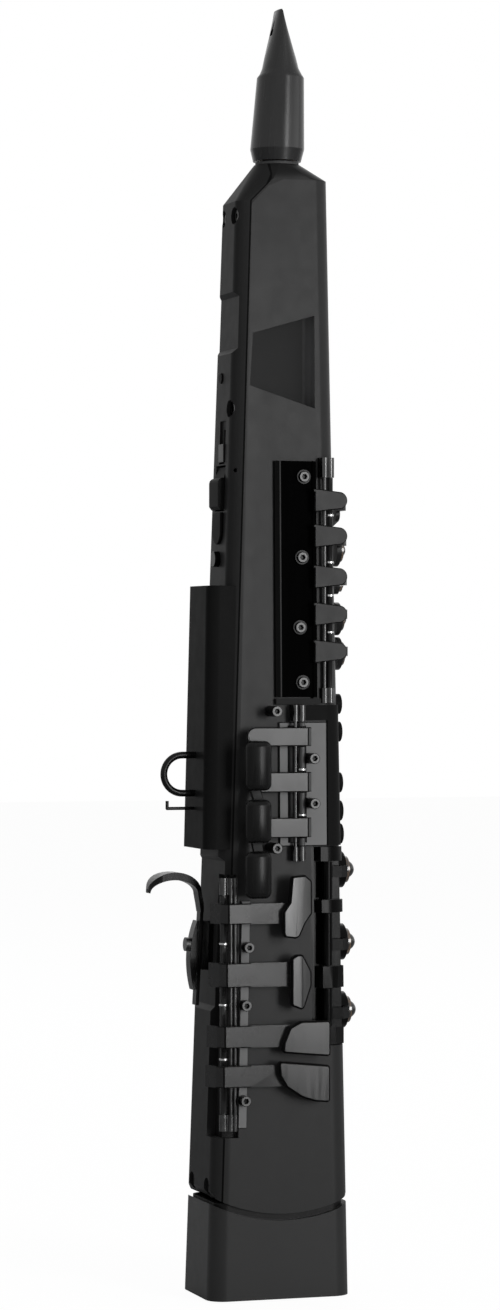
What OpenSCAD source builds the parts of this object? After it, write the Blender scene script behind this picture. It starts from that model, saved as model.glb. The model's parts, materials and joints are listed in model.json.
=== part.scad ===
// Straight digital wind controller with saxophone-style keywork, in millimetres.
// Z runs up the body to the mouthpiece, +X is the front with the pearls,
// -X is the player's side with the thumb hook, -Y is the player's right.
// The origin is the centre of the end cap's flat bottom.

/* [Body] */
// Back face distance from the axis at the base
base_back = 36.2; // [34:0.1:38]
// Front face distance from the axis at the base
base_front = 32.5; // [31:0.1:34]
// Half of the body width at the base
base_half = 23.9; // [23:0.1:25]
// Back face distance from the axis at the shoulder
shoulder_back = 20.0; // [19:0.1:21]
// Front face distance from the axis at the shoulder
shoulder_front = 25.1; // [24.5:0.1:26]
// Half of the body width at the shoulder
shoulder_half = 14.9; // [14.5:0.1:15.5]
// Height of the back shoulder above the base
shoulder_z = 505; // [500:1:510]
// Height of the flat top under the neck collar
top_z = 523.2; // [521:0.1:526]
// Thickness of the moulded shells
wall = 2.2; // [1.8:0.1:2.6]
// Radius of the front corners
front_round = 9; // [8:0.5:10]
// Radius of the back corners at the base
back_round = 8; // [7:0.5:9]

/* [End cap] */
// Radius of the curved joint line between shells and cap
joint_line_r = 75.5; // [72:0.5:80]
// Height of the lowest point of the shells
joint_line_z = 39.1; // [36:0.1:42]
// Width of the groove between shells and cap
cap_groove = 3.1; // [2:0.1:4]
// Thickness of the cap's floor
cap_floor = 3; // [2.5:0.1:4]

/* [Mouthpiece] */
// Distance of the mouthpiece axis in front of the body axis
neck_x = 3.4; // [3:0.1:4]
// Outer radius of the mouthpiece shank near its foot
shank_r = 12.6; // [12:0.1:13]
// Length of the mouthpiece
mouthpiece_l = 70.5; // [68:0.5:73]
// Radius of the corked tenon
cork_r = 7.9; // [7.5:0.05:8.2]
// Running clearance of the mouthpiece on its cork
cork_clear = 0.05; // [0.03:0.01:0.08]
// Radius of the air bore in the neck collar
air_r = 3; // [2.5:0.1:3.5]

/* [Keywork] */
// Radius of the hinge rods
rod_r = 0.8; // [0.7:0.05:0.9]
// Running clearance of a hinge tube on its rod
rod_clear = 0.05; // [0.03:0.01:0.08]
// Outer radius of the slim hinge tubes
tube_r = 1.3; // [1.2:0.05:1.4]
// Axial gap between neighbouring hinge tubes
tube_gap = 0.3; // [0.2:0.05:0.4]
// Radius of the right-hand pearl cups
cup_r = 8.5; // [8:0.1:8.6]
// Radius of the left-hand pearl cups
left_cup_r = 7.7; // [7.4:0.1:7.8]
// Distance of the cup fronts from the front face
cup_lift = 5.3; // [5:0.1:5.6]
// Thickness of the pearl cups
cup_t = 2.2; // [2:0.1:2.3]
// Height of a right-hand pearl's rim above its cup
pearl_rise = 2.4; // [2:0.1:2.8]
// Thickness of the flat key arms
arm_t = 1.4; // [1.2:0.1:1.5]

/* [Back fittings] */
// Back face of the battery housing at its top edge
housing_back_top = 35.0; // [34.5:0.1:36]
// Back face of the battery housing at its lower edge
housing_back_low = 37.4; // [37:0.1:38.5]
// Height of the lower edge of the battery housing
housing_z0 = 206.6; // [205:0.1:208]
// Height of the upper edge of the battery housing
housing_z1 = 327.6; // [326:0.1:329]
// Radius of the wire of the strap ring
ring_wire_r = 1.6; // [1.4:0.1:1.8]
// Radius of the bend of the strap ring
ring_bend_r = 8.8; // [8.4:0.1:9.2]
// Width of the thumb hook
hook_w = 12; // [10:0.5:13]
// Length of the slot that the thumb hook slides along
hook_slot = 14; // [12:0.5:15]
// Radius of the headphone jack's socket
jack_r = 1.8; // [1.75:0.05:1.85]
// Length of the headphone jack's socket
jack_l = 12; // [11:0.5:13]

/* [Hidden] */
$fn = 48;
hull_fn = 32;
seat = 0.05;
inner_skin = 0.6;
far = 200;
back_round_top = back_round - 1.5;
edge_round = 3;
front_shoulder_z = top_z - 7.6;
ridge_z = top_z - 6.5;
collar_disc_r = 10.8;
seam_low_x = -base_back + 4.7;
seam_high_x = -shoulder_back + 6.3;
rod_bore = rod_r + rod_clear;
pearl_clear = 0.1;
post_gap = 0.2;
edge_gap = 0.4;

// Heights of the low keys from their lowest post up: arms, tubes and posts
low_z0 = 77.7;
low_foot_l = 7.5;
low_tube_z0 = low_z0 + low_foot_l + post_gap;
low_c_z = low_tube_z0 + 12.7;
low_e_flat_z = low_c_z + 18.1;
alt_f_sharp_z = low_e_flat_z + 27.7;
high_f_sharp_z = alt_f_sharp_z + 28.8;
low_tube_z1 = high_f_sharp_z + 12.9;
low_head_l = 7.8;
// Low keys: [arm bottom, arm height, tube bottom, tube top]
low_c = [low_c_z, 9.9, low_tube_z0, low_e_flat_z - 5.6];
low_e_flat = [low_e_flat_z, 10, low_c[3], alt_f_sharp_z - 8.4];
alt_f_sharp = [alt_f_sharp_z, 11, low_e_flat[3], high_f_sharp_z - 9.2];
high_f_sharp = [high_f_sharp_z, 9.3, alt_f_sharp[3], low_tube_z1];

// Heights of the right-hand stack: posts and tubes in turn from the bottom of its recess
rh_cut_z0 = 115.5;
rh_post_l = [7.9, 9.9, 5.9, 6.6];
rh_tube_l = [17.8, 24.4, 17.4];
rh_arm_h = 5.2;
function rh_post_z(i) =
  i == 0 ? rh_cut_z0 + 0.5 : rh_tube_z(i - 1) + rh_tube_l[i - 1] + post_gap;
function rh_tube_z(i) = rh_post_z(i) + rh_post_l[i] + post_gap;
rh_cut_z1 = rh_post_z(3) + rh_post_l[3] + post_gap;

// Heights of the side keys: arms from the lower edge of their bracket up
bracket_z0 = rh_cut_z1 + edge_gap;
side_z0 = bracket_z0 - 0.1;
side_arm_h = 9.1;
side_bb_z = side_z0 + 4.3;
side_c_z = side_bb_z + 20.9;
high_e_z = side_c_z + 21.1;
side_z1 = high_e_z + 11.3;
bracket_z1 = side_z1 - edge_gap;

// Heights of the left-hand stack and its plate, above the side keys
side_head_l = 7.5;
bar_z0 = side_z1 + side_head_l + post_gap;
bar_z1 = bar_z0 + 2.8;
plate_z0 = bar_z1 + 0.6;
left_foot_l = 7;
stack_z0 = bar_z0 + 0.6 + left_foot_l;
bis_r = 4.1;
g_touch_z = stack_z0 + 15.9;
a_touch_z = g_touch_z + 2 * left_cup_r + 0.8;
bis_touch_z = a_touch_z + left_cup_r + bis_r + 3.8;
b_touch_z = bis_touch_z + bis_r + left_cup_r + 4.7;
front_f_touch_z = b_touch_z + left_cup_r + 10.2;
stack_z1 = front_f_touch_z + 15;
left_head_l = 9.2;
plate_z1 = stack_z1 + 7.6;
// Left-hand keys: [tab, tube bottom, tube top, touch]
left_arm_h = 4.4;
g_key = [g_touch_z + 1, stack_z0, a_touch_z - 6.4, g_touch_z];
a_key = [a_touch_z + 2, g_key[2], bis_touch_z - 5, a_touch_z];
bis_key = [bis_touch_z + 3.6, a_key[2], b_touch_z - 6.2, bis_touch_z];
b_key = [b_touch_z + 5.9, bis_key[2], front_f_touch_z - left_arm_h / 2 - post_gap, b_touch_z];
front_f = [front_f_touch_z + 4.4, b_key[2], stack_z1, front_f_touch_z];

// Colours
shell_grey = [0.27, 0.27, 0.27];
back_grey = [0.16, 0.16, 0.16];
gloss_black = [0.03, 0.03, 0.03];
key_grey = [0.33, 0.33, 0.33];
light_grey = [0.46, 0.46, 0.46];
rod_grey = [0.38, 0.38, 0.40];
pearl_brown = [0.32, 0.25, 0.18];
cork_tan = [0.66, 0.48, 0.30];
board_green = [0.10, 0.32, 0.18];
steel = [0.72, 0.72, 0.74];

// Taper of the body: a value between base and shoulder at height z
function at(z, low, high) = low + (high - low) * z / shoulder_z;
function back_x(z) = -at(z, base_back, shoulder_back);
function front_x(z) = at(z, base_front, shoulder_front);
function half_y(z) = at(z, base_half, shoulder_half);
function back_r(z) = at(z, back_round, back_round_top);
function seam_x(z) = at(z, seam_low_x, seam_high_x);
function cup_x(z) = front_x(z) + cup_lift;

// Left and right offsets of a polyline, joined into one band outline
function unit(v) = v / norm(v);
function turned(v) = [-v[1], v[0]];
function mitre(p, i) =
  i == 0 ? turned(unit(p[1] - p[0])) :
  i == len(p) - 1 ? turned(unit(p[i] - p[i - 1])) :
  let (a = turned(unit(p[i] - p[i - 1])), b = turned(unit(p[i + 1] - p[i])), m = unit(a + b))
  m / (m * a);
function band(p, w) = concat(
  [for (i = [0 : len(p) - 1]) p[i] + mitre(p, i) * w / 2],
  [for (i = [len(p) - 1 : -1 : 0]) p[i] - mitre(p, i) * w / 2]);
function arc(cx, cy, r, a0, a1, n = 12) =
  [for (i = [0 : n]) let (a = a0 + (a1 - a0) * i / n) [cx + r * cos(a), cy + r * sin(a)]];

// A 2D outline in X and Z, extruded along Y
module xz(y0, y1) {
  translate([0, y1, 0]) rotate([90, 0, 0]) linear_extrude(height = y1 - y0) children();
}
module along_x(x0, x1, y, z, r) {
  translate([x0, y, z]) rotate([0, 90, 0]) cylinder(r = r, h = x1 - x0);
}
module along_y(y0, y1, x, z, r) {
  translate([x, y1, z]) rotate([90, 0, 0]) cylinder(r = r, h = y1 - y0);
}
module upright(x, y, z0, z1, r) {
  translate([x, y, z0]) cylinder(r = r, h = z1 - z0);
}
module block(low, high) {
  translate(low) cube(high - low);
}

// The outer form of the body, moved inwards by inset (outwards when negative)
module corner_disc(x, y, z, r) {
  translate([x, y, z]) cylinder(r = max(r, 0.5), h = 0.1, $fn = hull_fn);
}
function ring(x, y, z, r) =
  [for (i = [0 : hull_fn - 1]) [x + max(r, 0.5) * cos(i * 360 / hull_fn),
                                y + max(r, 0.5) * sin(i * 360 / hull_fn), z]];
function corner_ring(side, front, z, inset) =
  let (r = front ? front_round : back_r(z))
  ring(front ? front_x(z) - r : back_x(z) + r, side * (half_y(z) - r), z, r - inset);
function ridge_ring(side, x, z, inset) = ring(x, side * (half_y(z) - edge_round), z, edge_round - inset);
function form_points(inset, low) = concat(
  ring(neck_x, 0, top_z - inset, collar_disc_r - inset),
  [for (side = [-1, 1], p = concat(
     corner_ring(side, false, low, inset),
     corner_ring(side, true, low, inset),
     corner_ring(side, false, shoulder_z - inset, inset),
     corner_ring(side, true, front_shoulder_z - inset, inset),
     ridge_ring(side, -3, front_shoulder_z - inset, inset),
     ridge_ring(side, 13, ridge_z - inset, inset))) p]);
module hull_of(p) {
  hull() polyhedron(points = p, faces = [[for (i = [0 : len(p) - 1]) i]]);
}
module body_form(inset = 0, low = 0) {
  hull_of(form_points(inset, low));
}
// A layer that follows the body's surface between two offsets
module skin(from, to) {
  difference() {
    body_form(-to);
    body_form(-from);
  }
}
// What lies in front of the seam, seen from the side
module front_region() {
  xz(-far, far) polygon([[seam_x(0), 0], [seam_x(shoulder_z), shoulder_z], [-5.9, front_shoulder_z - 2.7],
                         [-4.1, front_shoulder_z - 0.3], [-3.2, front_shoulder_z + 2.2],
                         [-2.6, top_z + 5], [far, top_z + 5], [far, 0]]);
}
// The curved joint line: what lies above it, grown downwards by drop
joint_c = joint_line_z + joint_line_r;
module above_joint(drop = 0) {
  r = joint_line_r + drop;
  notch_z = joint_c - sqrt(r * r - 32 * 32);
  xz(-far, far) polygon(concat(
    [[-far, notch_z + (far - 32) * 1.5]],
    arc(0, joint_c, r, 270 - asin(32 / r), 270 + asin(30 / r), 24),
    [[far, notch_z + (far - 30) * 1.5], [far, 700], [-far, 700]]));
}
module below_joint() {
  r = joint_line_r + cap_groove;
  xz(-far, far) polygon(concat(
    arc(0, joint_c, r, 270 - 36, 270 + 36, 24), [[far / 2, -1], [-far / 2, -1]]));
}

// Hand scoop in the side face
scoop_rim = [[-20, 417.5], [-15.9, 420], [16.4, 409.6], [16.4, 452.6], [-15.9, 443.3], [-20, 441]];
scoop_depth = 8;
scoop_x1 = 16.4;
scoop_z = 431;
module scoop_cut(grow = 0) {
  y = -half_y(scoop_z);
  intersection() {
    xz(-far, 0) offset(delta = grow) polygon(scoop_rim);
    translate([0, 0, 400]) linear_extrude(height = 70)
      polygon([[-far, y - 20], [-far, y - 0.5 + grow], [seam_x(scoop_z), y - 0.5 + grow],
               [scoop_x1 + grow, y + scoop_depth + grow], [scoop_x1 + grow, y - 20]]);
  }
}

// Black recess in the front corner for the right-hand stack
rh_cut_x = front_x(160) - 16.85;
rh_cut_y = -half_y(160) + 7.5;
module rh_cut(grow = 0) {
  block([rh_cut_x - grow, -far, rh_cut_z0 - grow], [far, rh_cut_y + grow, rh_cut_z1 + grow]);
}

module front_shell() {
  color(shell_grey) difference() {
    intersection() {
      union() {
        difference() {
          body_form();
          body_form(wall, cap_floor);
        }
        intersection() {
          body_form(inner_skin);
          union() {
            scoop_cut(wall);
            rh_cut(wall);
            low_pocket_wall();
            for (side = [-1, 1], p = case_screw_places)
              along_x(seam_x(p[1]), front_x(p[1]) - 1, side * p[0], p[1], boss_r);
            for (z = board_screw_z)
              along_y(board_y + board_t, half_y(z) - 1, board_screw_x, z, 2.6);
          }
        }
      }
      front_region();
      above_joint();
    }
    scoop_cut();
    rh_cut();
    low_pocket();
    for (side = [-1, 1], p = case_screw_places)
      along_x(seam_x(p[1]) - 1, screw_end(p[1]) + 0.5, side * p[0], p[1], screw_r + seat);
    for (z = board_screw_z)
      along_y(board_y + board_t - 1, board_y + board_t + 7, board_screw_x, z, 1.25);
    upright(neck_x, 0, top_z - 12, top_z + 5, neck_r + seat);
  }
}

// Case screws: [distance from the middle plane, height]
case_screw_places = [[8, shoulder_z - 6.6], [11.5, joint_line_z + 12.4]];
screw_r = 1.45;
screw_head_r = 2.75;
boss_r = 4;
counterbore_r = 4;
screw_l = 22;
screw_sink = 3.8;
function head_seat(z) = back_x(z) + screw_sink;
function screw_end(z) = head_seat(z) + screw_l;

// Board inside the front shell
board_y = 3;
board_t = 1.6;
board_screw_x = 8;
board_z0 = rh_cut_z0 + 2.5;
board_z1 = shoulder_z - 27;
board_screw_z = [for (i = [0 : 3]) board_z0 + 22 + i * (board_z1 - board_z0 - 30) / 3];

// Hinge line of the low keys, and the recess for it in the back corner
low_x = back_x(135) + 2.8;
low_y = -half_y(135) + 1.1;
low_cut_z0 = low_z0 - 3.2;
low_cut_z1 = low_tube_z1 + post_gap + low_head_l + 1.4;
low_cut_depth = 4.2;
low_cut_x = low_x + 6.5;
low_cut_y = -half_y(135) + 12;
module low_cut_zone(grow = 0) {
  block([-far, -far, low_cut_z0 - grow], [low_cut_x + grow, low_cut_y + grow, low_cut_z1 + grow]);
}
module low_pocket() {
  intersection() {
    low_cut_zone();
    difference() {
      body_form(-10);
      body_form(low_cut_depth);
    }
  }
}
module low_pocket_wall() {
  intersection() {
    low_cut_zone(wall);
    difference() {
      body_form();
      body_form(low_cut_depth + wall);
    }
  }
}
// Back recesses: [lower height, upper height, depth, half width]
upper_recess = [shoulder_z - 68, shoulder_z - 44, 2, 30];
hook_recess = [134, 201, 2.1, 30];
module back_recess(r, grow = 0) {
  x0 = back_x(r[0]);
  x1 = back_x(r[1]);
  ramp = 2.5;
  xz(-r[3] - grow, r[3] + grow) polygon([
    [x0 - 5, r[0] - ramp - grow], [x0 - 0.3, r[0] - ramp - grow],
    [x0 + r[2] + grow, r[0] - grow], [x1 + r[2] + grow, r[1] + grow],
    [x1 - 0.3, r[1] + ramp + grow], [x1 - 5, r[1] + ramp + grow]]);
}
// Window and pivot of the octave key
slot_z1 = shoulder_z - 101;
slot_z0 = slot_z1 - 20;
octave_z = slot_z0 - 3.4;
octave_x = back_x(octave_z) + 2.6;
octave_half = 6.7;
octave_z1 = octave_z - 3;
octave_z0 = octave_z1 - 14.8;
octave_pin_r = 1;
octave_boss_r = 2.7;
// Power slider slot, function button, thumb button and jack: places on the back face
slot_y = -1.4;
slot_half = 4.4;
slot_depth = 1.2;
stem_half = 1.2;
button_y = 3.2;
button_z = slot_z1 + 20;
button_r = 2.4;
thumb_rest_z = octave_z0 - 9.6;
thumb_button_z = thumb_rest_z - 13.1;
thumb_button_r = 3.6;
jack_y = -10;
jack_z = slot_z1 + 5.2;
jack_sink = 1.7;
jack_flange_t = 0.8;
jack_hole_r = 4;
button_clear = 0.1;

module back_shell() {
  color(back_grey) difference() {
    intersection() {
      union() {
        difference() {
          body_form();
          body_form(wall, cap_floor);
        }
        intersection() {
          body_form(inner_skin);
          union() {
            low_pocket_wall();
            back_recess(upper_recess, wall);
            back_recess(hook_recess, wall);
            for (side = [-1, 1], p = case_screw_places)
              along_x(back_x(p[1]) + 0.5, seam_x(p[1]), side * p[0], p[1], boss_r + 1.4);
            along_x(back_x(jack_z) + 0.5, back_x(jack_z) + 3.4, jack_y, jack_z, jack_hole_r + 1.4);
            for (side = [-1, 1])
              along_y(side * (octave_half + 2.4) - 1.5, side * (octave_half + 2.4) + 1.5,
                      octave_x, octave_z, octave_boss_r);
          }
        }
      }
      above_joint();
    }
    front_region();
    low_pocket();
    back_recess(upper_recess);
    back_recess(hook_recess);
    for (side = [-1, 1], p = case_screw_places) {
      along_x(back_x(p[1]) - 5, head_seat(p[1]), side * p[0], p[1], counterbore_r);
      along_x(head_seat(p[1]) - 1, seam_x(p[1]) + 1, side * p[0], p[1], screw_r + seat);
    }
    block([-far, -octave_half - 0.4, octave_z0 - 0.6], [octave_x + 8, octave_half + 0.4, octave_z + 2.8]);
    along_y(-octave_half - 9, octave_half + 9, octave_x, octave_z, octave_pin_r + rod_clear);
    slider_slot();
    along_x(-far, back_x(button_z) + 8, button_y, button_z, button_r + button_clear);
    along_x(-far, back_x(thumb_button_z) + 8, 0, thumb_button_z, thumb_button_r + button_clear);
    along_x(-far, back_x(jack_z) + jack_sink + jack_flange_t + seat, jack_y, jack_z, jack_hole_r);
    along_x(-far, back_x(jack_z) + 6, jack_y, jack_z, jack_body_r + seat);
    block([-far, -battery_w / 2 - 1, battery_z0 - 1], [battery_x1 + 1, battery_w / 2 + 1, battery_z1 + 2]);
    upright(neck_x, 0, top_z - 12, top_z + 5, neck_r + seat);
  }
}
module slider_slot() {
  x = back_x((slot_z0 + slot_z1) / 2);
  translate([0, slot_y, 0]) rotate([0, -90, 0])
    translate([0, 0, -(x + slot_depth)]) linear_extrude(height = 10) rounded_slot(slot_half);
  block([x - 1, slot_y - stem_half - button_clear, slot_z0 + 4],
        [x + 8, slot_y + stem_half + button_clear, slot_z1 - 4]);
}
// Outline of the slot, height along its first axis, width along its second
module rounded_slot(half) {
  translate([slot_z0, -half]) square([slot_z1 - slot_z0, 2 * half]);
}

module end_cap() {
  lip = 2.2;
  lip_z0 = joint_line_z - cap_groove - 10;
  color(back_grey) difference() {
    union() {
      intersection() {
        difference() {
          body_form();
          body_form(wall, cap_floor);
        }
        below_joint();
      }
      difference() {
        union() {
          intersection() {
            body_form(wall - 0.6);
            block([-far, -far, lip_z0], [far, far, lip_z0 + 7]);
          }
          intersection() {
            body_form(wall + seat);
            block([-far, -far, lip_z0], [far, far, joint_line_z + 5.4]);
          }
        }
        body_form(wall + lip, cap_floor);
      }
    }
  }
}

// Neck collar with its corked tenon
neck_r = 6.6;
collar_r = 10.1;
collar_t = 1.4;
tenon_top = top_z + 33.8;
cork_z0 = top_z + 4.8;
cork_z1 = top_z + 29.8;
module neck_collar() {
  color(cork_tan) difference() {
    union() {
      upright(neck_x, 0, top_z - 12, tenon_top, neck_r);
      upright(neck_x, 0, top_z, top_z + collar_t, collar_r);
      upright(neck_x, 0, cork_z0, cork_z1, cork_r);
    }
    upright(neck_x, 0, top_z - 13, tenon_top + 1, air_r);
  }
}

module back_housing() {
  color(back_grey) difference() {
    housing_form(0);
    housing_form(wall);
    body_form(-seat);
  }
}
housing_round = 5.5;
function housing_back(z) = -(housing_back_low
  + (housing_back_top - housing_back_low) * (z - housing_z0) / (housing_z1 - housing_z0));
function housing_half(z) = half_y(z) - 0.8;
module housing_form(inset) {
  hull_of([for (z = [housing_z0 + inset, housing_z1 - inset], side = [-1, 1],
                x = [housing_back(z) + housing_round, back_x(z) + back_r(z)],
                q = ring(x, side * (housing_half(z) - housing_round), z, housing_round - inset)) q]);
}

battery_w = 26;
battery_z0 = housing_z0 + wall + 0.1;
battery_z1 = battery_z0 + 104;
battery_x0 = -housing_back_top + wall + 0.4;
battery_x1 = battery_x0 + 11;
module battery_pack() {
  color([0.20, 0.28, 0.45]) union() {
    block([battery_x0, -battery_w / 2, battery_z0], [battery_x1, battery_w / 2, battery_z1]);
  }
}

module main_board() {
  color(board_green) difference() {
    block([-12, board_y, board_z0], [14, board_y + board_t - seat, board_z1]);
    for (z = board_screw_z)
      along_y(board_y - 1, board_y + board_t + 1, board_screw_x, z, 1.3);
  }
}

module breath_sensor() {
  color(steel) difference() {
    union() {
      upright(neck_x, 0, top_z - 12 - 9, top_z - 12 - seat, neck_r);
      block([neck_x - 4, -4, top_z - 29], [neck_x + 4, 4, top_z - 21]);
    }
    upright(neck_x, 0, top_z - 18, top_z, air_r);
  }
}

module case_screws() {
  color(steel) {
    for (side = [-1, 1], p = case_screw_places) difference() {
      union() {
        along_x(head_seat(p[1]) - 2.4, head_seat(p[1]) - seat / 2, side * p[0], p[1], screw_head_r);
        along_x(head_seat(p[1]) - 1, screw_end(p[1]), side * p[0], p[1], screw_r);
      }
      along_x(head_seat(p[1]) - 5, head_seat(p[1]) - 1, side * p[0], p[1], 1.2);
    }
    for (z = board_screw_z) union() {
      along_y(board_y - 1.5, board_y - seat / 2, board_screw_x, z, 2.2);
      along_y(board_y - 1, board_y + board_t + 6, board_screw_x, z, 1.2);
    }
  }
}

// Glossy side plate with its edge strip and lower bar
plate_x0 = -4;
plate_x1 = 14.3;
plate_t = 1.5;
strip_x1 = 16.1;
module side_plate() {
  color(gloss_black) intersection() {
    skin(seat, 2.3);
    union() {
      intersection() {
        block([plate_x0, -30, plate_z0], [plate_x1, 0, plate_z1]);
        body_form(-plate_t);
      }
      block([plate_x1 - 0.1, -30, plate_z0 - 1], [strip_x1, 0, plate_z1]);
      block([plate_x0, -30, bar_z0], [17.9, 0, bar_z1]);
    }
  }
}

// Screws: [x, z, distance of the head's top from the side face, collar radius]
plate_screws = [[10, plate_z1 - 7.3], [8.9, plate_z0 + 64.4], [7.8, plate_z0 + 32.1],
                [9, plate_z0 + 6.8]];
pillar_screws = [[-6.3, side_z1 + 4.7, 11], [11.75, side_c_z + 15.4, 11], [11.85, side_bb_z + 15.6, 11],
                 [-6.5, side_z0 - 0.4, 11], [-18.7, high_f_sharp[2] - 1.7, 6.2],
                 [-20.1, alt_f_sharp[2] - 0.2, 6.2], [-20.7, low_c_z - 6.3, 6.2]];
module socket_screw(x, z, y_seat, y_top, collar) {
  difference() {
    union() {
      along_y(y_top + 1.2, y_seat, x, z, collar);
      along_y(y_top, y_seat, x, z, 2.5);
    }
    along_y(y_top - 1, y_top + 1.4, x, z, 1.05, $fn = 6);
  }
}
module key_screws() {
  color(key_grey) {
    for (p = plate_screws)
      socket_screw(p[0], p[1], -half_y(p[1]) - plate_t - seat, -half_y(p[1]) - plate_t - 2.2, 3.4);
    for (p = pillar_screws)
      socket_screw(p[0], p[1], -half_y(p[1]) - (pillar_base(p)) - seat,
                   -half_y(p[1]) - p[2], 2.1);
  }
}
function pillar_base(p) = p[0] > 0 ? bracket_t : p[0] < -10 ? rail_t : seat;

// Stack cover on the front face, with the round cups of the lower pads
cover_x0 = 9;
cover_t = 0.9;
pad_cup_y = -5.2;
pad_cup_r = 4.7;
module stack_cover() {
  color(back_grey) union() {
    intersection() {
      skin(seat, cover_t);
      block([cover_x0, -40, bracket_z1 + 0.8], [60, 14, bar_z0 - 0.3]);
    }
    intersection() {
      skin(seat, cover_t);
      block([21.4, -40, bracket_z0], [60, 14, bracket_z1 + 1.2]);
    }
    difference() {
      for (z = [bar_z0, side_z1 - 5.2, side_c_z + 3.5, side_bb_z + 11.3, bracket_z0 + 4.8])
        along_x(front_x(z) - 3, front_x(z) + 3.6, pad_cup_y, z, pad_cup_r);
      body_form(-seat);
    }
  }
}

bracket_t = 1.3;
rail_t = 1.4;
bracket_x0 = -2.4;
bracket_x1 = 20.9;
module side_key_bracket() {
  color(light_grey) difference() {
    intersection() {
      skin(seat, bracket_t);
      block([bracket_x0, -40, bracket_z0], [bracket_x1, 0, bracket_z1]);
    }
    block([2.1, -40, bracket_z0 + 2], [10.4, 0, bracket_z1 - 2]);
  }
}

// Left-hand stack: hinge line at the front corner
stack_x = front_x(330) - 5.1;
stack_y = -half_y(330) - 2.1;
stay_x = stack_x - 2.8;
stay_y = stack_y - 0.5;
module post_pair(z0, z1) {
  difference() {
    union() {
      upright(stack_x, stack_y, z0, z1, 1.9);
      upright(stay_x, stay_y, z0, z1, 1.6);
      translate([0, 0, z0]) linear_extrude(height = z1 - z0)
        polygon([[stay_x - 1.6, stay_y], [stack_x + 1.6, stack_y], [stack_x, stack_y + 8],
                 [stay_x - 3, stack_y + 8]]);
    }
    body_form(-seat);
  }
}
module lh_stack_rods() {
  color(rod_grey) union() {
    post_pair(stack_z0 - left_foot_l, stack_z0);
    post_pair(stack_z1, stack_z1 + left_head_l);
    upright(stack_x, stack_y, stack_z0 - 1, stack_z1 + 1, rod_r);
    upright(stay_x, stay_y, stack_z0 - 1, stack_z1 + 1, rod_r);
  }
}

// One left-hand key: tube, tab and arm; the cup or lever is added by its caller
tab_y = stack_y - 2.3;
tab_root_x = stack_x - 8.6;
tab_tip_x = stack_x + 7.3;
tab_tip_r = 4;
tab_root_half = 5.4;
module tab(z) {
  xz(tab_y - arm_t, tab_y) union() {
    polygon([[tab_root_x, z - tab_root_half], [tab_tip_x - tab_tip_r, z - tab_tip_r],
             [tab_tip_x - tab_tip_r, z + tab_tip_r], [tab_root_x, z + tab_root_half]]);
    translate([tab_tip_x - tab_tip_r, z]) circle(r = tab_tip_r);
  }
  along_y(tab_y - arm_t, tab_y - 0.2, tab_root_x, z + tab_root_half - 0.9, 0.8);
}
module front_arm(points, z, h, w = 1.8) {
  translate([0, 0, z - h / 2]) linear_extrude(height = h) polygon(band(points, w));
}
module stack_tube(z0, z1, x = stack_x, y = stack_y, r = tube_r) {
  upright(x, y, z0 + tube_gap / 2, z1 - tube_gap / 2, r);
}
module rod_hole(x = stack_x, y = stack_y) {
  upright(x, y, 0, far * 3, rod_bore);
}
function pearl_seat(r) = 0.74 * r;
module cup(z, r, t = cup_t) {
  difference() {
    along_x(cup_x(z) - t, cup_x(z), 0, z, r);
    along_x(cup_x(z) - 1, cup_x(z) + 1, 0, z, pearl_seat(r));
  }
}
module left_key(tab_z, z0, z1, touch_z, r) {
  x = cup_x(touch_z) - cup_t / 2;
  arm_z = touch_z + min(tab_z - touch_z, r / 2);
  color(key_grey) difference() {
    union() {
      stack_tube(z0, z1);
      block([stack_x - 1, tab_y - 0.1, tab_z - 3], [stack_x + 1, stack_y - 0.9, tab_z + 3]);
      tab(tab_z);
      front_arm([[stack_x, stack_y], [x - 2.6, stack_y + 2.5], [x, stack_y + 6], [x, -r + min(1.4, r / 5)]],
                arm_z, left_arm_h);
      children();
    }
    rod_hole();
  }
}
module cup_key(tab_z, z0, z1, touch_z, r) {
  left_key(tab_z, z0, z1, touch_z, r) cup(touch_z, r);
}
module lh_front_f_key() {
  x = cup_x(front_f[3]) - cup_t / 2;
  left_key(front_f[0], front_f[1], front_f[2], front_f[3], 4.5)
    translate([x - 0.9, 0, 0]) rotate([90, 0, 90]) linear_extrude(height = 1.8)
      hull() {
        translate([-3, front_f_touch_z - 1.3]) circle(r = 3.4, $fn = hull_fn);
        translate([3.5, front_f_touch_z - 4.8]) circle(r = 1.8, $fn = hull_fn);
      }
}
module lh_b_key() { cup_key(b_key[0], b_key[1], b_key[2], b_key[3], left_cup_r); }
module lh_bis_key() { cup_key(bis_key[0], bis_key[1], bis_key[2], bis_key[3], bis_r); }
module lh_a_key() { cup_key(a_key[0], a_key[1], a_key[2], a_key[3], left_cup_r); }
module lh_g_key() { cup_key(g_key[0], g_key[1], g_key[2], g_key[3], left_cup_r); }

// A pearl: a rim that stands out of its cup and a round dome
module pearl(z, r, rise, dome_h) {
  pr = pearl_seat(r) - pearl_clear;
  dome_r = 0.68 * pr;
  top = rise + dome_h * pr;
  color(pearl_brown) translate([cup_x(z), 0, z]) rotate([0, 90, 0]) union() {
    translate([0, 0, -1]) cylinder(r = pr, h = 1 + rise);
    intersection() {
      translate([0, 0, top - dome_r]) sphere(r = dome_r, $fn = 64);
      translate([0, 0, rise - 0.3]) cylinder(r = pr, h = far);
    }
  }
}
module left_pearl(z, r) { pearl(z, r, 0.75 * pearl_rise, 0.42); }
module lh_b_pearl() { left_pearl(b_key[3], left_cup_r); }
module lh_bis_pearl() { left_pearl(bis_key[3], bis_r); }
module lh_a_pearl() { left_pearl(a_key[3], left_cup_r); }
module lh_g_pearl() { left_pearl(g_key[3], left_cup_r); }

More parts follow.
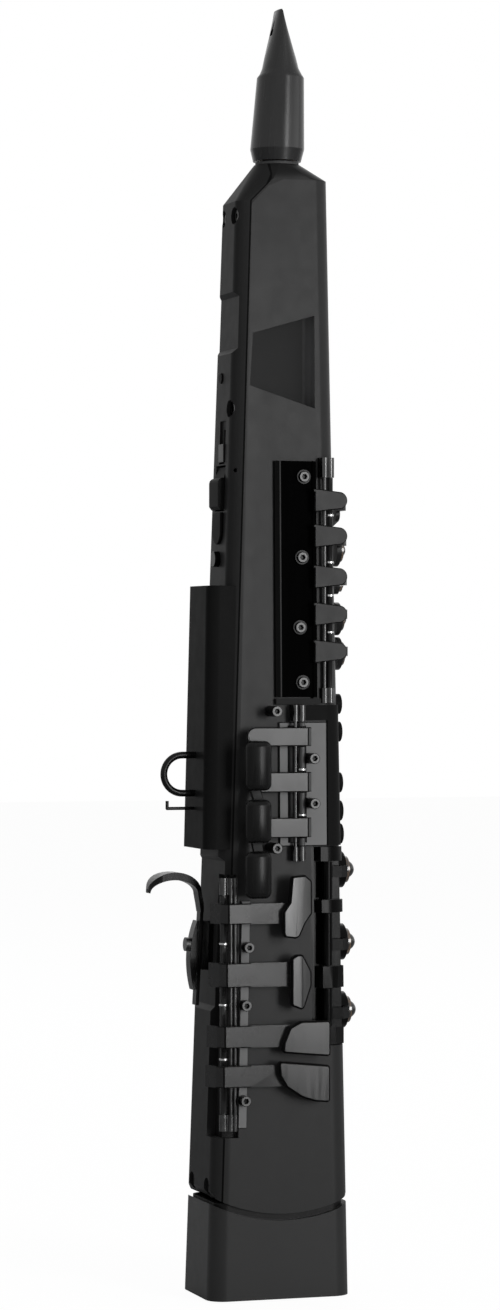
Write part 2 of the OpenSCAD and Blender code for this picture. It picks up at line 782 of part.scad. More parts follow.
// Right-hand stack: [tube bottom, tube top, touch]
rh_x = rh_cut_x + 8.1;
rh_y = rh_cut_y - 6.1;
rh_tube_r = 2.4;
function rh_tube(i, share) =
  let (z0 = rh_tube_z(i), z1 = z0 + rh_tube_l[i], reach = rh_arm_h / 2 + tube_gap / 2)
  [z0, z1, z0 + reach + share * (rh_tube_l[i] - 2 * reach)];
rh_f = rh_tube(2, 0.83);
rh_e = rh_tube(1, 0.36);
rh_d = rh_tube(0, 0.26);
rh_posts = [for (i = [0 : 3]) [rh_post_z(i), rh_post_z(i) + rh_post_l[i]]];
module rh_stack_frame() {
  color(gloss_black) union() {
    intersection() {
      body_form(0.4);
      union() {
        block([rh_cut_x + seat, -60, rh_cut_z0 + seat], [rh_cut_x + 1.4, rh_cut_y - seat, rh_cut_z1 - seat]);
        block([rh_cut_x + seat, rh_cut_y - 1.4, rh_cut_z0 + seat], [60, rh_cut_y - seat, rh_cut_z1 - seat]);
      }
    }
    for (p = rh_posts) intersection() {
      translate([0, 0, p[0]]) linear_extrude(height = p[1] - p[0])
        polygon([[rh_cut_x + 1, rh_cut_y - 0.5], [rh_cut_x + 1, rh_y + 2.6], [rh_x - 3, rh_y - 2.8],
                 [rh_x + 3.4, rh_y - 2.8], [rh_x + 8.8, rh_y + 2.1], [rh_x + 8.8, rh_cut_y - 0.5]]);
      body_form(-1.2);
    }
    upright(rh_x, rh_y, rh_posts[0][1] - 1, rh_posts[3][0] + 1, rod_r);
  }
}
// A thick cup whose back slopes, so that it lies flat above the body when pressed
module right_cup(z) {
  x = cup_x(z);
  y = cup_r + 1;
  intersection() {
    cup(z, cup_r, cup_t + 2);
    translate([0, 0, z - y]) linear_extrude(height = 2 * y)
      polygon([[x - cup_t - 1.7, -y], [x + 1, -y], [x + 1, y], [x - cup_t - 0.1, y]]);
  }
}
module right_key(k) {
  z = k[2];
  x = cup_x(z) - cup_t - 0.7;
  color(gloss_black) difference() {
    union() {
      stack_tube(k[0], k[1], rh_x, rh_y, rh_tube_r);
      front_arm([[rh_x, rh_y], [x - 4, rh_y + 0.6], [x, rh_y + 5], [x, -cup_r + 0.9]], z, rh_arm_h, 1.8);
      right_cup(z);
    }
    rod_hole(rh_x, rh_y);
  }
}
module rh_f_key() { right_key(rh_f); }
module rh_e_key() { right_key(rh_e); }
module rh_d_key() { right_key(rh_d); }
module rh_f_pearl() { pearl(rh_f[2], cup_r, pearl_rise, 0.6); }
module rh_e_pearl() { pearl(rh_e[2], cup_r, pearl_rise, 0.6); }
module rh_d_pearl() { pearl(rh_d[2], cup_r, pearl_rise, 0.6); }

// Side keys: hinge line and stay rod on the side bracket
side_x = 7.6;
side_y = -half_y(240) - 4.3;
side_stay_x = side_x - 3.1;
side_tube_r = rod_r + 0.7;
side_arm_y = side_y - 1.3;
side_posts = [[side_z0 - 6.6, side_z0], [side_z1, side_z1 + side_head_l]];
module side_key_rods() {
  color(rod_grey) union() {
    for (p = side_posts) difference() {
      union() {
        upright(side_x, side_y, p[0], p[1], 1.7);
        upright(side_stay_x, side_y, p[0], p[1], 1.5);
        block([side_stay_x - 1.2, side_y, p[0]], [side_x + 1.2, side_y + 8, p[1]]);
      }
      body_form(-seat);
      block([cover_x0 - 0.1, -40, side_z1 - 0.2], [60, 14, bar_z0 + 0.1]);
    }
    upright(side_x, side_y, side_posts[0][1] - 1, side_posts[1][0] + 1, rod_r);
    upright(side_stay_x, side_y, side_posts[0][1] - 1, side_posts[1][0] + 1, rod_r);
  }
}
// [arm bottom, arm top, tube bottom, tube top, pill bottom, pill top]
side_reach = 1.2;
side_c_tube = side_bb_z + side_arm_h + side_reach;
high_e_tube = side_c_z + side_arm_h + side_reach;
high_e = [high_e_z, high_e_z + side_arm_h - 0.5, high_e_tube, side_z1, high_e_z - 20.1, high_e_z + 2.6];
side_c = [side_c_z, side_c_z + side_arm_h, side_c_tube, high_e_tube, side_c_z - 22.9, side_c_z - 3];
side_bb = [side_bb_z, side_bb_z + side_arm_h, side_z0, side_c_tube, side_bb_z - 27.3, side_bb_z - 5.7];
pill_x0 = -22.4;
pill_x1 = -10.1;
pill_y1 = side_arm_y - arm_t - 3.6;
pill_y0 = pill_y1 - 6.4;
module pill(z0, z1) {
  r = (pill_y1 - pill_y0) / 2;
  hull() for (x = [pill_x0 + r, pill_x1 - r], z = [z0 + r, z1 - r])
    translate([x, (pill_y0 + pill_y1) / 2, z]) sphere(r = r, $fn = 20);
}
module side_key(k) {
  h = k[1] - k[0];
  mid = (k[0] + k[1]) / 2;
  color(light_grey) difference() {
    union() {
      stack_tube(k[2], k[3], side_x, side_y, side_tube_r);
      xz(side_arm_y - arm_t, side_arm_y) union() {
        translate([-15.4, k[0]]) square([24.8, h]);
        translate([-15.4, mid]) circle(r = h / 2);
      }
      translate([0, 0, k[0]]) linear_extrude(height = h)
        polygon(band([[side_x + 0.2, side_arm_y - arm_t / 2], [side_x + 2, side_arm_y - arm_t / 2],
                      [side_x + 4, side_arm_y + 1.6]], arm_t));
      block([side_x - 1.2, side_arm_y - 0.2, k[0]], [side_x + 1.2, side_y, k[1]]);
      translate([-18.4, 0, 0]) rotate([90, 0, 90]) linear_extrude(height = 5.2)
        polygon([[side_arm_y - 0.5, k[0] + 0.1], [side_arm_y - 0.5, k[0] + 2.2],
                 [pill_y1 - 2.8, k[5] - 1.6], [pill_y1 - 1.3, k[5] - 3.8]]);
      pill(k[4], k[5]);
    }
    rod_hole(side_x, side_y);
  }
}
module side_high_e_key() { side_key(high_e); }
module side_c_key() { side_key(side_c); }
module side_b_flat_key() { side_key(side_bb); }

// Low keys: recess, hinge line, rail and the four long arms
low_tube_r = rod_r + 0.95;
low_posts = [[low_z0, low_z0 + low_foot_l],
             [low_tube_z1 + post_gap, low_tube_z1 + post_gap + low_head_l]];
module low_key_rail() {
  color(light_grey) intersection() {
    skin(seat, rail_t);
    xz(-40, 0) polygon([[low_x + 5.9, low_z0 + 1.3], [low_x + 10.1, low_z0 + 1.3],
                        [low_x + 12.5, low_tube_z1 - 2.6], [low_x + 8.1, low_tube_z1 - 2.6]]);
  }
}
module low_key_rods() {
  color(rod_grey) union() {
    for (p = low_posts) difference() {
      union() {
        upright(low_x, low_y, p[0], p[1], 2.1);
        upright(low_x + 2.9, low_y - 2.2, p[0], p[1], 1.2);
        upright(low_x + 4.7, low_y - 2.8, p[0], p[1], 1.1);
        translate([0, 0, p[0]]) linear_extrude(height = p[1] - p[0])
          polygon([[low_x - 1.8, low_y - 0.2], [low_x + 5.1, low_y - 3.8], [low_x + 6.2, low_y - 1.6],
                   [low_x + 6.2, low_y + 6.4], [low_x + 0.1, low_y + 6.4]]);
      }
      body_form(low_cut_depth - seat);
      block([low_cut_x - seat, -40, 0], [0, 0, 300]);
    }
    upright(low_x, low_y, low_posts[0][1] - 1, low_posts[1][0] + 1, rod_r);
    upright(low_x + 2.9, low_y - 2.2, low_posts[0][1] - 1, low_posts[1][0] + 1, rod_r);
    upright(low_x + 4.7, low_y - 2.8, low_posts[0][1] - 1, low_posts[1][0] + 1, rod_r);
  }
}
low_arm_t = arm_t + 0.1;
low_arm_y = low_y - 6.2;
touch_y1 = low_arm_y - 1.7;
touch_y0 = touch_y1 - 3;
module low_key(k, arm_end, stem) {
  z0 = k[0];
  z1 = k[0] + k[1];
  shift = back_x(z1) - back_x(low_tube_z1 - 3.6);
  color(key_grey) difference() {
    union() {
      stack_tube(k[2], k[3], low_x, low_y, low_tube_r);
      translate([0, 0, z0]) linear_extrude(height = z1 - z0) {
        polygon(band([[low_x - 4.7 + shift, low_y + 3.4], [low_x - 1.9 + shift, low_y - 3.9],
                      [low_x + 0.5 + shift, low_y - 7], [low_x + 11.1, low_arm_y],
                      [arm_end, low_arm_y]], low_arm_t));
        polygon(band([[low_x, low_y], [low_x - 1 + shift / 2, low_y - 4.6]], 2.4));
      }
      block([stem[0], touch_y1 - 0.1, z0 + stem[2]], [stem[1], low_arm_y, z0 + stem[3]]);
      xz(touch_y0, touch_y1) translate([0, z0]) children();
    }
    rod_hole(low_x, low_y);
  }
}
module high_f_sharp_key() {
  low_key(high_f_sharp, 4, [-2, 4, 1.3, 8.3])
    round_touch([[0.4, 21.7], [7.2, 22.2], [10.6, 19.4], [10.6, 4.4], [7.2, -0.2], [4.4, -6.1],
                 [2.4, -7], [-3, -6.3], [-3.7, -4.1], [-3.7, 5.5], [-0.6, 9.9]]);
}
module alt_f_sharp_key() {
  low_key(alt_f_sharp, 6, [1, 6, 1.1, 10.1])
    round_touch([[0.2, 13], [3, 14.6], [6, 14.6], [10.4, 6.6], [10.4, 0.2], [7, -9.4], [5.6, -11],
                 [0.2, -8.8]]);
}
module low_e_flat_key() {
  low_key(low_e_flat, 6, [-2, 6, 0.8, 6.8])
    round_touch([[-4.1, -2.6], [-3.4, 2.3], [-0.6, 9], [5, 11.8], [19.4, 11.8], [19.4, -4.9]]);
}
module low_c_key() {
  low_key(low_c, 4, [-3, 4, 0.9, 8.9])
    round_touch([[-6, 11.8], [19.2, 9.3], [19.2, -7.9], [12, -7.3], [5.2, -5.1], [-2.2, -0.2],
                 [-5.4, 5]]);
}
module round_touch(points) {
  offset(r = 1.6, $fn = 24) offset(delta = -1.6) polygon(points);
}

// Strap ring, cable hook, thumb rest
ring_z = housing_z0 + 34.1;
cable_hook_z = ring_z - 15.8;
ring_x = housing_back(ring_z) - 6;
hook_x = housing_back(cable_hook_z) - 12.9;
module strap_ring() {
  foot = housing_back(ring_z);
  color(gloss_black) difference() {
    union() {
      for (side = [-1, 1])
        along_x(ring_x, foot + 1, 0, ring_z + side * ring_bend_r, ring_wire_r);
      translate([ring_x, 0, ring_z]) rotate([90, 0, 0])
        rotate([0, 0, 90]) rotate_extrude(angle = 180) translate([ring_bend_r, 0]) circle(r = ring_wire_r);
    }
    housing_form(-seat);
  }
}
module cable_hook() {
  wire = 0.75;
  color(gloss_black) difference() {
    union() {
      along_x(hook_x, housing_back(cable_hook_z) + 1, 0, cable_hook_z, wire);
      upright(hook_x, 0, cable_hook_z, cable_hook_z + 3.5, wire);
      translate([hook_x, 0, cable_hook_z]) sphere(r = wire);
    }
    housing_form(-seat);
  }
}
module thumb_rest() {
  color(back_grey) difference() {
    translate([back_x(thumb_rest_z) + 1.3, 0, thumb_rest_z]) rotate([0, -90, 0])
      linear_extrude(height = 2.8) union() {
        circle(r = 6.4);
        translate([0, -6.4]) square([8.4, 12.8]);
      }
    body_form(-seat);
  }
}

// Octave key: pad, lever plate and its two pivot stubs
module octave_key() {
  color(back_grey) union() {
    xz(-octave_half, octave_half) polygon(concat(
      [[octave_x, octave_z + 2], [octave_x - 1.6, octave_z + 2], [octave_x - 3.2, octave_z1]],
      arc(octave_x - 3.6, octave_z1 - 2.6, 2.6, 90, 180, 6),
      [[octave_x - 6.2, octave_z0 + 1.6], [octave_x - 5, octave_z0], [octave_x - 2, octave_z0],
       [octave_x - 1.6, octave_z1 - 1], [octave_x + 1, octave_z - 1.6]]));
    along_y(-octave_half - 2.6, octave_half + 2.6, octave_x, octave_z, octave_pin_r);
  }
}
module thumb_button() {
  x = back_x(thumb_button_z);
  color(gloss_black) union() {
    along_x(x - 2.6, x + 3.4, 0, thumb_button_z, thumb_button_r);
    along_x(x + wall + 0.4, x + 4.4, 0, thumb_button_z, thumb_button_r + 1);
  }
}
module function_button() {
  x = back_x(button_z);
  color(back_grey) union() {
    along_x(x - 0.7, x + 3.4, button_y, button_z, button_r);
    along_x(x + wall + 0.4, x + 4.4, button_y, button_z, button_r + 1);
  }
}
module power_slider() {
  x = back_x((slot_z0 + slot_z1) / 2);
  z = slot_z0 + 5;
  color(key_grey) union() {
    block([x - 0.9, slot_y - slot_half + 0.6, z - 4.2],
          [x + slot_depth - 0.1, slot_y + slot_half - 0.6, z + 4.2]);
    block([x, slot_y - stem_half, z - 0.8], [x + wall + 1.6, slot_y + stem_half, z + 2.2]);
    block([x + wall + 0.6, slot_y - 3, z - 2], [x + wall + 1.8, slot_y + 3, z + 3.4]);
  }
}
jack_body_r = jack_r + 1.5;
module headphone_jack() {
  x = back_x(jack_z) + jack_sink;
  color(gloss_black) difference() {
    union() {
      along_x(x, x + jack_l + 2, jack_y, jack_z, jack_body_r);
      along_x(x, x + jack_flange_t, jack_y, jack_z, jack_hole_r - 0.1);
    }
    along_x(x - 1, x + jack_l, jack_y, jack_z, jack_r);
  }
}

// Thumb hook: curved hook with a slotted tongue that slides on its base, parallel to the back
tongue_x1 = back_x(150) - 2.8;
tongue_x0 = tongue_x1 - 1.6;
tongue_half = 2.7;
clamp_z = 161.8;
hook_tilt = 3;
clamp_screw_r = 1.2;
hook_end = tongue_x1 - 27.2;
module tilted() {
  translate([tongue_x1, 0, 158]) rotate([0, hook_tilt, 0]) translate([-tongue_x1, 0, -158]) children();
}
function bow(a, b, z, from, to) = [for (i = [0 : 16]) let (t = from + (to - from) * i / 16)
  [tongue_x1 - 14.4 + a * cos(t), z + b * sin(t)]];
module thumb_hook() {
  color(gloss_black) tilted() difference() {
    union() {
      xz(-tongue_half, tongue_half)
        polygon([[tongue_x0, 134], [tongue_x1, 134], [tongue_x1, 180], [tongue_x0, 180]]);
      intersection() {
        xz(-hook_w / 2, hook_w / 2) polygon(concat(
          [[tongue_x0, 177], [tongue_x1, 177], [tongue_x1 - 0.2, 181]],
          bow(12.8, 8.9, 186, 0, 172),
          [[hook_end, 186.2], [hook_end + 0.4, 185], [hook_end + 1, 184.7]],
          bow(11.7, 6.1, 185.2, 176, 90), bow(11, 6.1, 185.2, 84, 0),
          [[tongue_x0 - 0.8, 181]]));
        translate([0, 0, 170]) linear_extrude(height = 40) hull() {
          translate([hook_end + hook_w / 2, 0]) circle(r = hook_w / 2);
          translate([tongue_x1 - 3, -3.2]) square([4, 6.4]);
        }
      }
    }
    block([tongue_x0 - 1, -clamp_screw_r - 0.1, clamp_z - hook_slot / 2],
          [tongue_x1 + 1, clamp_screw_r + 0.1, clamp_z + hook_slot / 2]);
  }
}
module thumb_hook_base() {
  color(gloss_black) difference() {
    tilted() block([tongue_x1 + seat, -4, 150.5], [tongue_x1 + 10, 4, 173]);
    body_form(hook_recess[2] - seat);
    tilted() along_x(tongue_x1 - 1, tongue_x1 + 11, 0, clamp_z, clamp_screw_r + seat);
  }
}
module thumb_hook_clamp() {
  leaf_x = tongue_x0 - seat;
  leaf_z = 157;
  color(gloss_black) tilted() union() {
    xz(-3.4, 3.4) polygon(concat(
      arc(leaf_x + 48.6, leaf_z, 52.5, 180 - 17.8, 180 + 17.8, 16),
      [[leaf_x - 0.7, leaf_z - 15.9], [leaf_x - 0.7, leaf_z - 8.5], [leaf_x, leaf_z - 7.5],
       [leaf_x, leaf_z + 7.5], [leaf_x - 0.7, leaf_z + 8.5], [leaf_x - 0.7, leaf_z + 15.9]]));
    along_x(leaf_x - 3.6, tongue_x1 + 3.6, 0, clamp_z, clamp_screw_r);
    along_x(leaf_x - 5.8, leaf_x - 3.2, 0, clamp_z, 3.2);
  }
}

// Left-side keywork, out of sight in the photograph
palm_x = 15;
table_x = -19;
left_tube_r = 1.4;
palm_end_l = 6;
palm_mid_l = 3.6;
palm_f_z = shoulder_z - 123;
palm_e_flat_z = palm_f_z + 26.2 + palm_mid_l;
palm_d_z = palm_e_flat_z + 24.4 + palm_mid_l;
palm_z1 = palm_d_z + 26.2;
palm_posts = [[palm_f_z - palm_end_l, palm_f_z], [palm_e_flat_z - palm_mid_l, palm_e_flat_z],
              [palm_d_z - palm_mid_l, palm_d_z], [palm_z1, palm_z1 + palm_end_l]];
// Table keys: plates one above the other as [x, z, width, height], arms and tubes from the plates
table_z0 = 220;
table_gap = 0.4;
b_flat_plate = [-12, table_z0 + 7, 30, 14];
b_plate = [3.4, b_flat_plate[1] + b_flat_plate[3] + 2.6, 15, 32];
c_sharp_plate = [-12, b_plate[1] + 9.9, b_plate[0] + 11, b_plate[3] - 10];
g_sharp_plate = [-12, b_plate[1] + b_plate[3] + table_gap, 30, 20];
b_flat_arm = b_flat_plate[1] + 4;
b_arm = b_plate[1] + 3.4;
c_sharp_arm = c_sharp_plate[1] + 12.5;
g_sharp_arm = g_sharp_plate[1] + 10;
table_z1 = g_sharp_arm + 12;
table_posts = [[table_z0 - palm_end_l, table_z0], [table_z1, table_z1 + palm_end_l]];
palm_y = half_y(palm_posts[0][0]) + 3.2;
table_y = half_y(table_posts[0][0]) + 3;
module left_post(x, y, z0, z1) {
  difference() {
    union() {
      upright(x, y, z0, z1, 1.9);
      block([x - 1.7, 8, z0], [x + 1.7, y, z1]);
    }
    body_form(-seat);
  }
}
module left_key_posts() {
  color(rod_grey) {
    union() {
      for (p = palm_posts) left_post(palm_x, palm_y, p[0], p[1]);
      upright(palm_x, palm_y, palm_posts[0][1] - 1, palm_posts[3][0] + 1, rod_r);
    }
    union() {
      for (p = table_posts) left_post(table_x, table_y, p[0], p[1]);
      upright(table_x, table_y, table_posts[0][1] - 1, table_posts[1][0] + 1, rod_r);
    }
  }
}
module palm_key(z0, z1, touch_z, reach) {
  color(key_grey) difference() {
    union() {
      stack_tube(z0, z1, palm_x, palm_y, left_tube_r);
      xz(palm_y + 0.9, palm_y + 0.9 + arm_t) union() {
        translate([palm_x - reach, touch_z - 2.6]) square([reach + 1, 5.2]);
      }
      xz(palm_y + 0.9, palm_y + 3.9) translate([palm_x - reach, touch_z]) palm_touch();
    }
    rod_hole(palm_x, palm_y);
  }
}
module palm_touch() {
  offset(r = 4, $fn = 24) polygon([[-7, -6], [3, -2], [3, 4], [-7, 8]]);
}
module palm_d_key() { palm_key(palm_d_z, palm_posts[3][0], palm_d_z + 12.2, 16); }
module palm_e_flat_key() { palm_key(palm_e_flat_z, palm_posts[2][0], palm_e_flat_z + 12.2, 18); }
module palm_f_key() { palm_key(palm_f_z, palm_posts[1][0], palm_f_z + 13, 20); }

module table_key(z0, z1, arm_z, plate) {
  color(key_grey) difference() {
    union() {
      stack_tube(z0, z1, table_x, table_y, left_tube_r);
      xz(table_y + 0.8, table_y + 0.8 + arm_t)
        translate([table_x, arm_z - 3]) square([plate[0] - table_x + 2, 6]);
      xz(table_y + 0.8, table_y + 3.6) translate([plate[0], plate[1]])
        offset(r = 2, $fn = 24) offset(delta = -2) square([plate[2], plate[3]]);
    }
    rod_hole(table_x, table_y);
  }
}
module table_g_sharp_key() { table_key(g_sharp_arm - 8, table_z1, g_sharp_arm, g_sharp_plate); }
module table_c_sharp_key() {
  table_key(c_sharp_arm - 7.5, g_sharp_arm - 8, c_sharp_arm, c_sharp_plate);
}
module table_b_key() { table_key(b_arm - 8, c_sharp_arm - 7.5, b_arm, b_plate); }
module table_b_flat_key() { table_key(table_z0, b_arm - 8, b_flat_arm, b_flat_plate); }

// Mouthpiece: shank, beak, tenon bore, chamber and the air port in its table
mouth_z = top_z + collar_t + 0.5;
beak_z = mouth_z + 38.9;
tip_z = mouth_z + mouthpiece_l;
// An oval section across the mouthpiece, given its place and its half widths
function oval(x, z, a, b) =
  [for (i = [0 : hull_fn - 1]) [neck_x + x + a * cos(i * 360 / hull_fn), b * sin(i * 360 / hull_fn), z]];
// A skin over sections that stand one above the other
module lofted(sections) {
  n = hull_fn;
  top = len(sections) - 1;
  polyhedron(points = [for (s = sections, p = s) p], faces = concat(
    [[for (j = [0 : n - 1]) j], [for (j = [n - 1 : -1 : 0]) top * n + j]],
    [for (i = [0 : top - 1], j = [0 : n - 1]) [i * n + j, (i + 1) * n + j, (i + 1) * n + (j + 1) % n]],
    [for (i = [0 : top - 1], j = [0 : n - 1])
      [i * n + j, (i + 1) * n + (j + 1) % n, i * n + (j + 1) % n]]));
}
module mouthpiece() {
  color(gloss_black) difference() {
    lofted([
      oval(0, mouth_z, shank_r - 1.4, shank_r - 1.4),
      oval(0.1, mouth_z + 5.6, shank_r, shank_r),
      oval(1.7, beak_z, shank_r - 1.6, shank_r - 1.6),
      oval(1.8, beak_z + 1.8, shank_r - 2.9, shank_r - 2.2),
      oval(1.6, beak_z + 4.5, shank_r - 4.2, shank_r - 2.9),
      oval(1.5, beak_z + 9, shank_r - 5.3, shank_r - 3.5),
      oval(0.7, tip_z - 0.9, 1.1, 6.4),
      oval(0.6, tip_z, 0.9, 5.4)]);
    upright(neck_x, 0, mouth_z - 1, tenon_top + 0.6, cork_r + cork_clear);
    upright(neck_x, 0, tenon_top, beak_z + 7, 5);
    block([neck_x - 0.4, -2, beak_z + 6], [neck_x + 1.4, 2, tip_z - 9]);
    block([-20, -2, tip_z - 12], [neck_x + 1.4, 2, tip_z - 9]);
  }
}

front_shell();
back_shell();
end_cap();
neck_collar();
back_housing();
battery_pack();
main_board();
breath_sensor();
case_screws();
side_plate();
key_screws();
stack_cover();
side_key_bracket();
lh_stack_rods();
rh_stack_frame();
side_key_rods();
low_key_rail();
low_key_rods();
strap_ring();
cable_hook();
thumb_rest();
thumb_hook_base();
thumb_hook_clamp();
left_key_posts();
headphone_jack();
mouthpiece();
lh_front_f_key();
lh_b_key();
lh_bis_key();
lh_a_key();
lh_g_key();
lh_b_pearl();
lh_bis_pearl();
lh_a_pearl();
lh_g_pearl();
rh_f_key();
rh_e_key();
rh_d_key();
rh_f_pearl();
rh_e_pearl();
rh_d_pearl();
side_high_e_key();
side_c_key();
side_b_flat_key();
high_f_sharp_key();
alt_f_sharp_key();
low_e_flat_key();
low_c_key();
octave_key();
thumb_button();
power_slider();
function_button();
thumb_hook();
palm_d_key();
palm_e_flat_key();
palm_f_key();
table_g_sharp_key();
table_c_sharp_key();
table_b_key();
table_b_flat_key();
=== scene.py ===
import json
import math

import bmesh
import bpy
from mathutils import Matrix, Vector


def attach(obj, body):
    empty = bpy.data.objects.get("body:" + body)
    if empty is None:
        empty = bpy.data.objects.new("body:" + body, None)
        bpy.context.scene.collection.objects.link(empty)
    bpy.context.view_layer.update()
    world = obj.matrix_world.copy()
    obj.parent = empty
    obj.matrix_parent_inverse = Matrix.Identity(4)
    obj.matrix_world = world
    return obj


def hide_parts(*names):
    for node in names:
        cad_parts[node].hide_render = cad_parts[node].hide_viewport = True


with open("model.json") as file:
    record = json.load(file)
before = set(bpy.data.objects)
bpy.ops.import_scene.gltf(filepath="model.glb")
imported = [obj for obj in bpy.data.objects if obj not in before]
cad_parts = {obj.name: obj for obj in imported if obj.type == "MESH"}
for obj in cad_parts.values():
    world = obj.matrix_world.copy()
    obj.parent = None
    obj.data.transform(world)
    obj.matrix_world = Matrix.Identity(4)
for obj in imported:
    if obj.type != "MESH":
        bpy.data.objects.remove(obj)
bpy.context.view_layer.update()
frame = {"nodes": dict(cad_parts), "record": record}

behaviour = frame["record"]["behaviour"]
BODY_OF = {}
for body_name, body_nodes in behaviour["bodies"].items():
    for node_name in body_nodes:
        BODY_OF[node_name] = body_name
HINGE_AT = {joint["name"]: joint["pos_m"] for joint in behaviour["joints"] if "pos_m" in joint}

MM = 0.001

# Studio, in metres, degrees and watts

CAMERA_PLACE = (-0.576, -1.754, 0.2957)
CAMERA_TARGET = (-0.00885, 0.00286, 0.2957)
CAMERA_LENS = 109.1
CAMERA_SENSOR = 36
SOFTBOX_TARGET = (0, 0, 0.3)
FILL_STRENGTH = 0.30
FLOOR_REACH = 6
FLOOR_DROP = 0.0006
FLOOR_GLOW = 1.06
FLOOR_GLOW_SHARE = 0.9

# Places on the object, in millimetres, with X to its front, Y to its far side and Z up

SHOULDER = 505
SIDE_FACE_AT_FOOT = -23.9
SIDE_FACE_LEAN = 9
SEAM_LINE = ((0, -31.5), (SHOULDER, -13.7), (512.9, -5.9), (517.8, -3.2))
SEAM_WIDTH = 0.85
SEAM_FADE = 0.15
NECK_ARCH = ((-13.7, 503.6), (-5.5, 512.2), (2, 515.4))
NECK_FADE = 0.2
BAY_LOW = 115.4
BAY_HIGH = 207.7
BAY_FRONT = 20
BAY_NEAR = -5
BAY_FADE = 0.4
SCOOP_LOW = 409
SCOOP_HIGH = 453
SCOOP_BACK = -20
SCOOP_FRONT = 16.8
SCOOP_FLOOR = -7.5
SCOOP_LIP = 0.3
SCOOP_CORNER = 16.4
SCOOP_CORNER_REACH = 0.3
SCOOP_CORNER_SIDES = (-9.6, -6.8)
# Where painted light makes the shaded front end of the scoop paler
SCOOP_PAINTED_LIGHT_FROM = 12.4
SCOOP_PAINTED_LIGHT_TO = 16.2
PANEL_LINE = (-1.6, -0.8)
PANEL_LINE_FADE = 0.2
PANEL_BAR_TOP = 276.4
PANEL_BAR_FADE = 0.3
CAP_JOINT_REACH = 78.3
CAP_JOINT_FADE = 0.2
SCREW_HEAD_DEPTH = 0.25
SCREW_HEAD_RIM = 0.3
DOME_ABOVE_RIM = 0.05
FRONT_KEY_BACK = -22.5
SIDE_KEY_BACK = -25
SIDE_TOUCH_BACK = -29.9
SIDE_TOUCH_FRONT = -36.62
SIDE_TOUCH_DEPTH = 3.3
LOW_ARM_BACK = -25
LOW_ARM_FRONT = -28.2
LOW_ARM_END = -7
LOW_ARM_SHORTEST = 3
LOW_STEM_BACK = -28.4
LOW_TOUCH_BACK = -29.9
LOW_TOUCH_FRONT = -31.29
TOUCH_SKIN = 0.02
TOUCH_UNEVEN = 0.05
TOUCH_BEND_LIMIT = 1.7
CLAMP_SCREW_FRONT = -40.0
WASHER_THICK = 0.9
WASHER_PLAY = 0.03
WASHER_RIM = 0.4
WASHER_CHAMFER = 0.08

# Centres and radii that the finishes use, in metres

CAP_JOINT_CENTRE = (0, 0, 0.1146)
TENON_AXIS = (0.0034, 0, 0)
CORK_RADIUS = 0.0079
CORK_SPREAD = 0.0009

# Mesh making, in metres and degrees

WELD = 0.000002
CUT_WELD = 0.000001
FLAT_WITHIN = 0.5
ROUND_ABOVE = 32
SHARP_ABOVE = 30
SOFT_SEGMENTS = 5
TOUCH_STRIPS = 10
WASHER_STEPS = 28


def grey(level):
    """Linear colour of a grey that shows as this level from 0 to 255."""
    value = level / 255
    linear = ((value + 0.055) / 1.055) ** 2.4 if value > 0.04045 else value / 12.92
    return (linear, linear, linear, 1.0)


def scaled(colour, factor):
    return (colour[0] * factor, colour[1] * factor, colour[2] * factor, 1.0)


# Camera and studio

def place_camera():
    data = bpy.data.cameras.new("studio_camera")
    data.sensor_width = CAMERA_SENSOR
    data.lens = CAMERA_LENS
    data.clip_end = 20
    camera = bpy.data.objects.new("studio_camera", data)
    bpy.context.scene.collection.objects.link(camera)
    camera.location = CAMERA_PLACE
    aim = Vector(CAMERA_TARGET) - camera.location
    camera.rotation_mode = "QUATERNION"
    camera.rotation_quaternion = aim.to_track_quat("-Z", "Y")
    bpy.context.scene.camera = camera


def place_softbox(name, azimuth, height, distance, width, tall, power):
    """A softbox seen from the object at this azimuth, where 0 stands in front of the near side."""
    data = bpy.data.lights.new(name, "AREA")
    data.shape = "RECTANGLE"
    data.size = width
    data.size_y = tall
    data.energy = power
    lamp = bpy.data.objects.new(name, data)
    bpy.context.scene.collection.objects.link(lamp)
    turn = math.radians(azimuth)
    lamp.location = (distance * math.sin(turn), -distance * math.cos(turn), height)
    aim = Vector(SOFTBOX_TARGET) - lamp.location
    lamp.rotation_mode = "QUATERNION"
    lamp.rotation_quaternion = aim.to_track_quat("-Z", "Y")


def white_room():
    """White where it is seen or mirrored, and an even fill for diffuse light."""
    world = bpy.data.worlds.new("white_room")
    bpy.context.scene.world = world
    world.use_nodes = True
    nodes = world.node_tree.nodes
    links = world.node_tree.links
    nodes.clear()
    out = nodes.new("ShaderNodeOutputWorld")
    fill = nodes.new("ShaderNodeBackground")
    fill.inputs["Color"].default_value = (0.97, 0.98, 1.0, 1)
    fill.inputs["Strength"].default_value = FILL_STRENGTH
    white = nodes.new("ShaderNodeBackground")
    white.inputs["Color"].default_value = (1, 1, 1, 1)
    white.inputs["Strength"].default_value = 1.0
    rays = nodes.new("ShaderNodeLightPath").outputs
    mirrored = combined(world, "MAXIMUM", rays["Is Glossy Ray"], rays["Is Transmission Ray"])
    shown = combined(world, "MAXIMUM", rays["Is Camera Ray"], mirrored)
    seen = nodes.new("ShaderNodeMixShader")
    links.new(shown, seen.inputs["Fac"])
    links.new(fill.outputs[0], seen.inputs[1])
    links.new(white.outputs[0], seen.inputs[2])
    links.new(seen.outputs[0], out.inputs["Surface"])


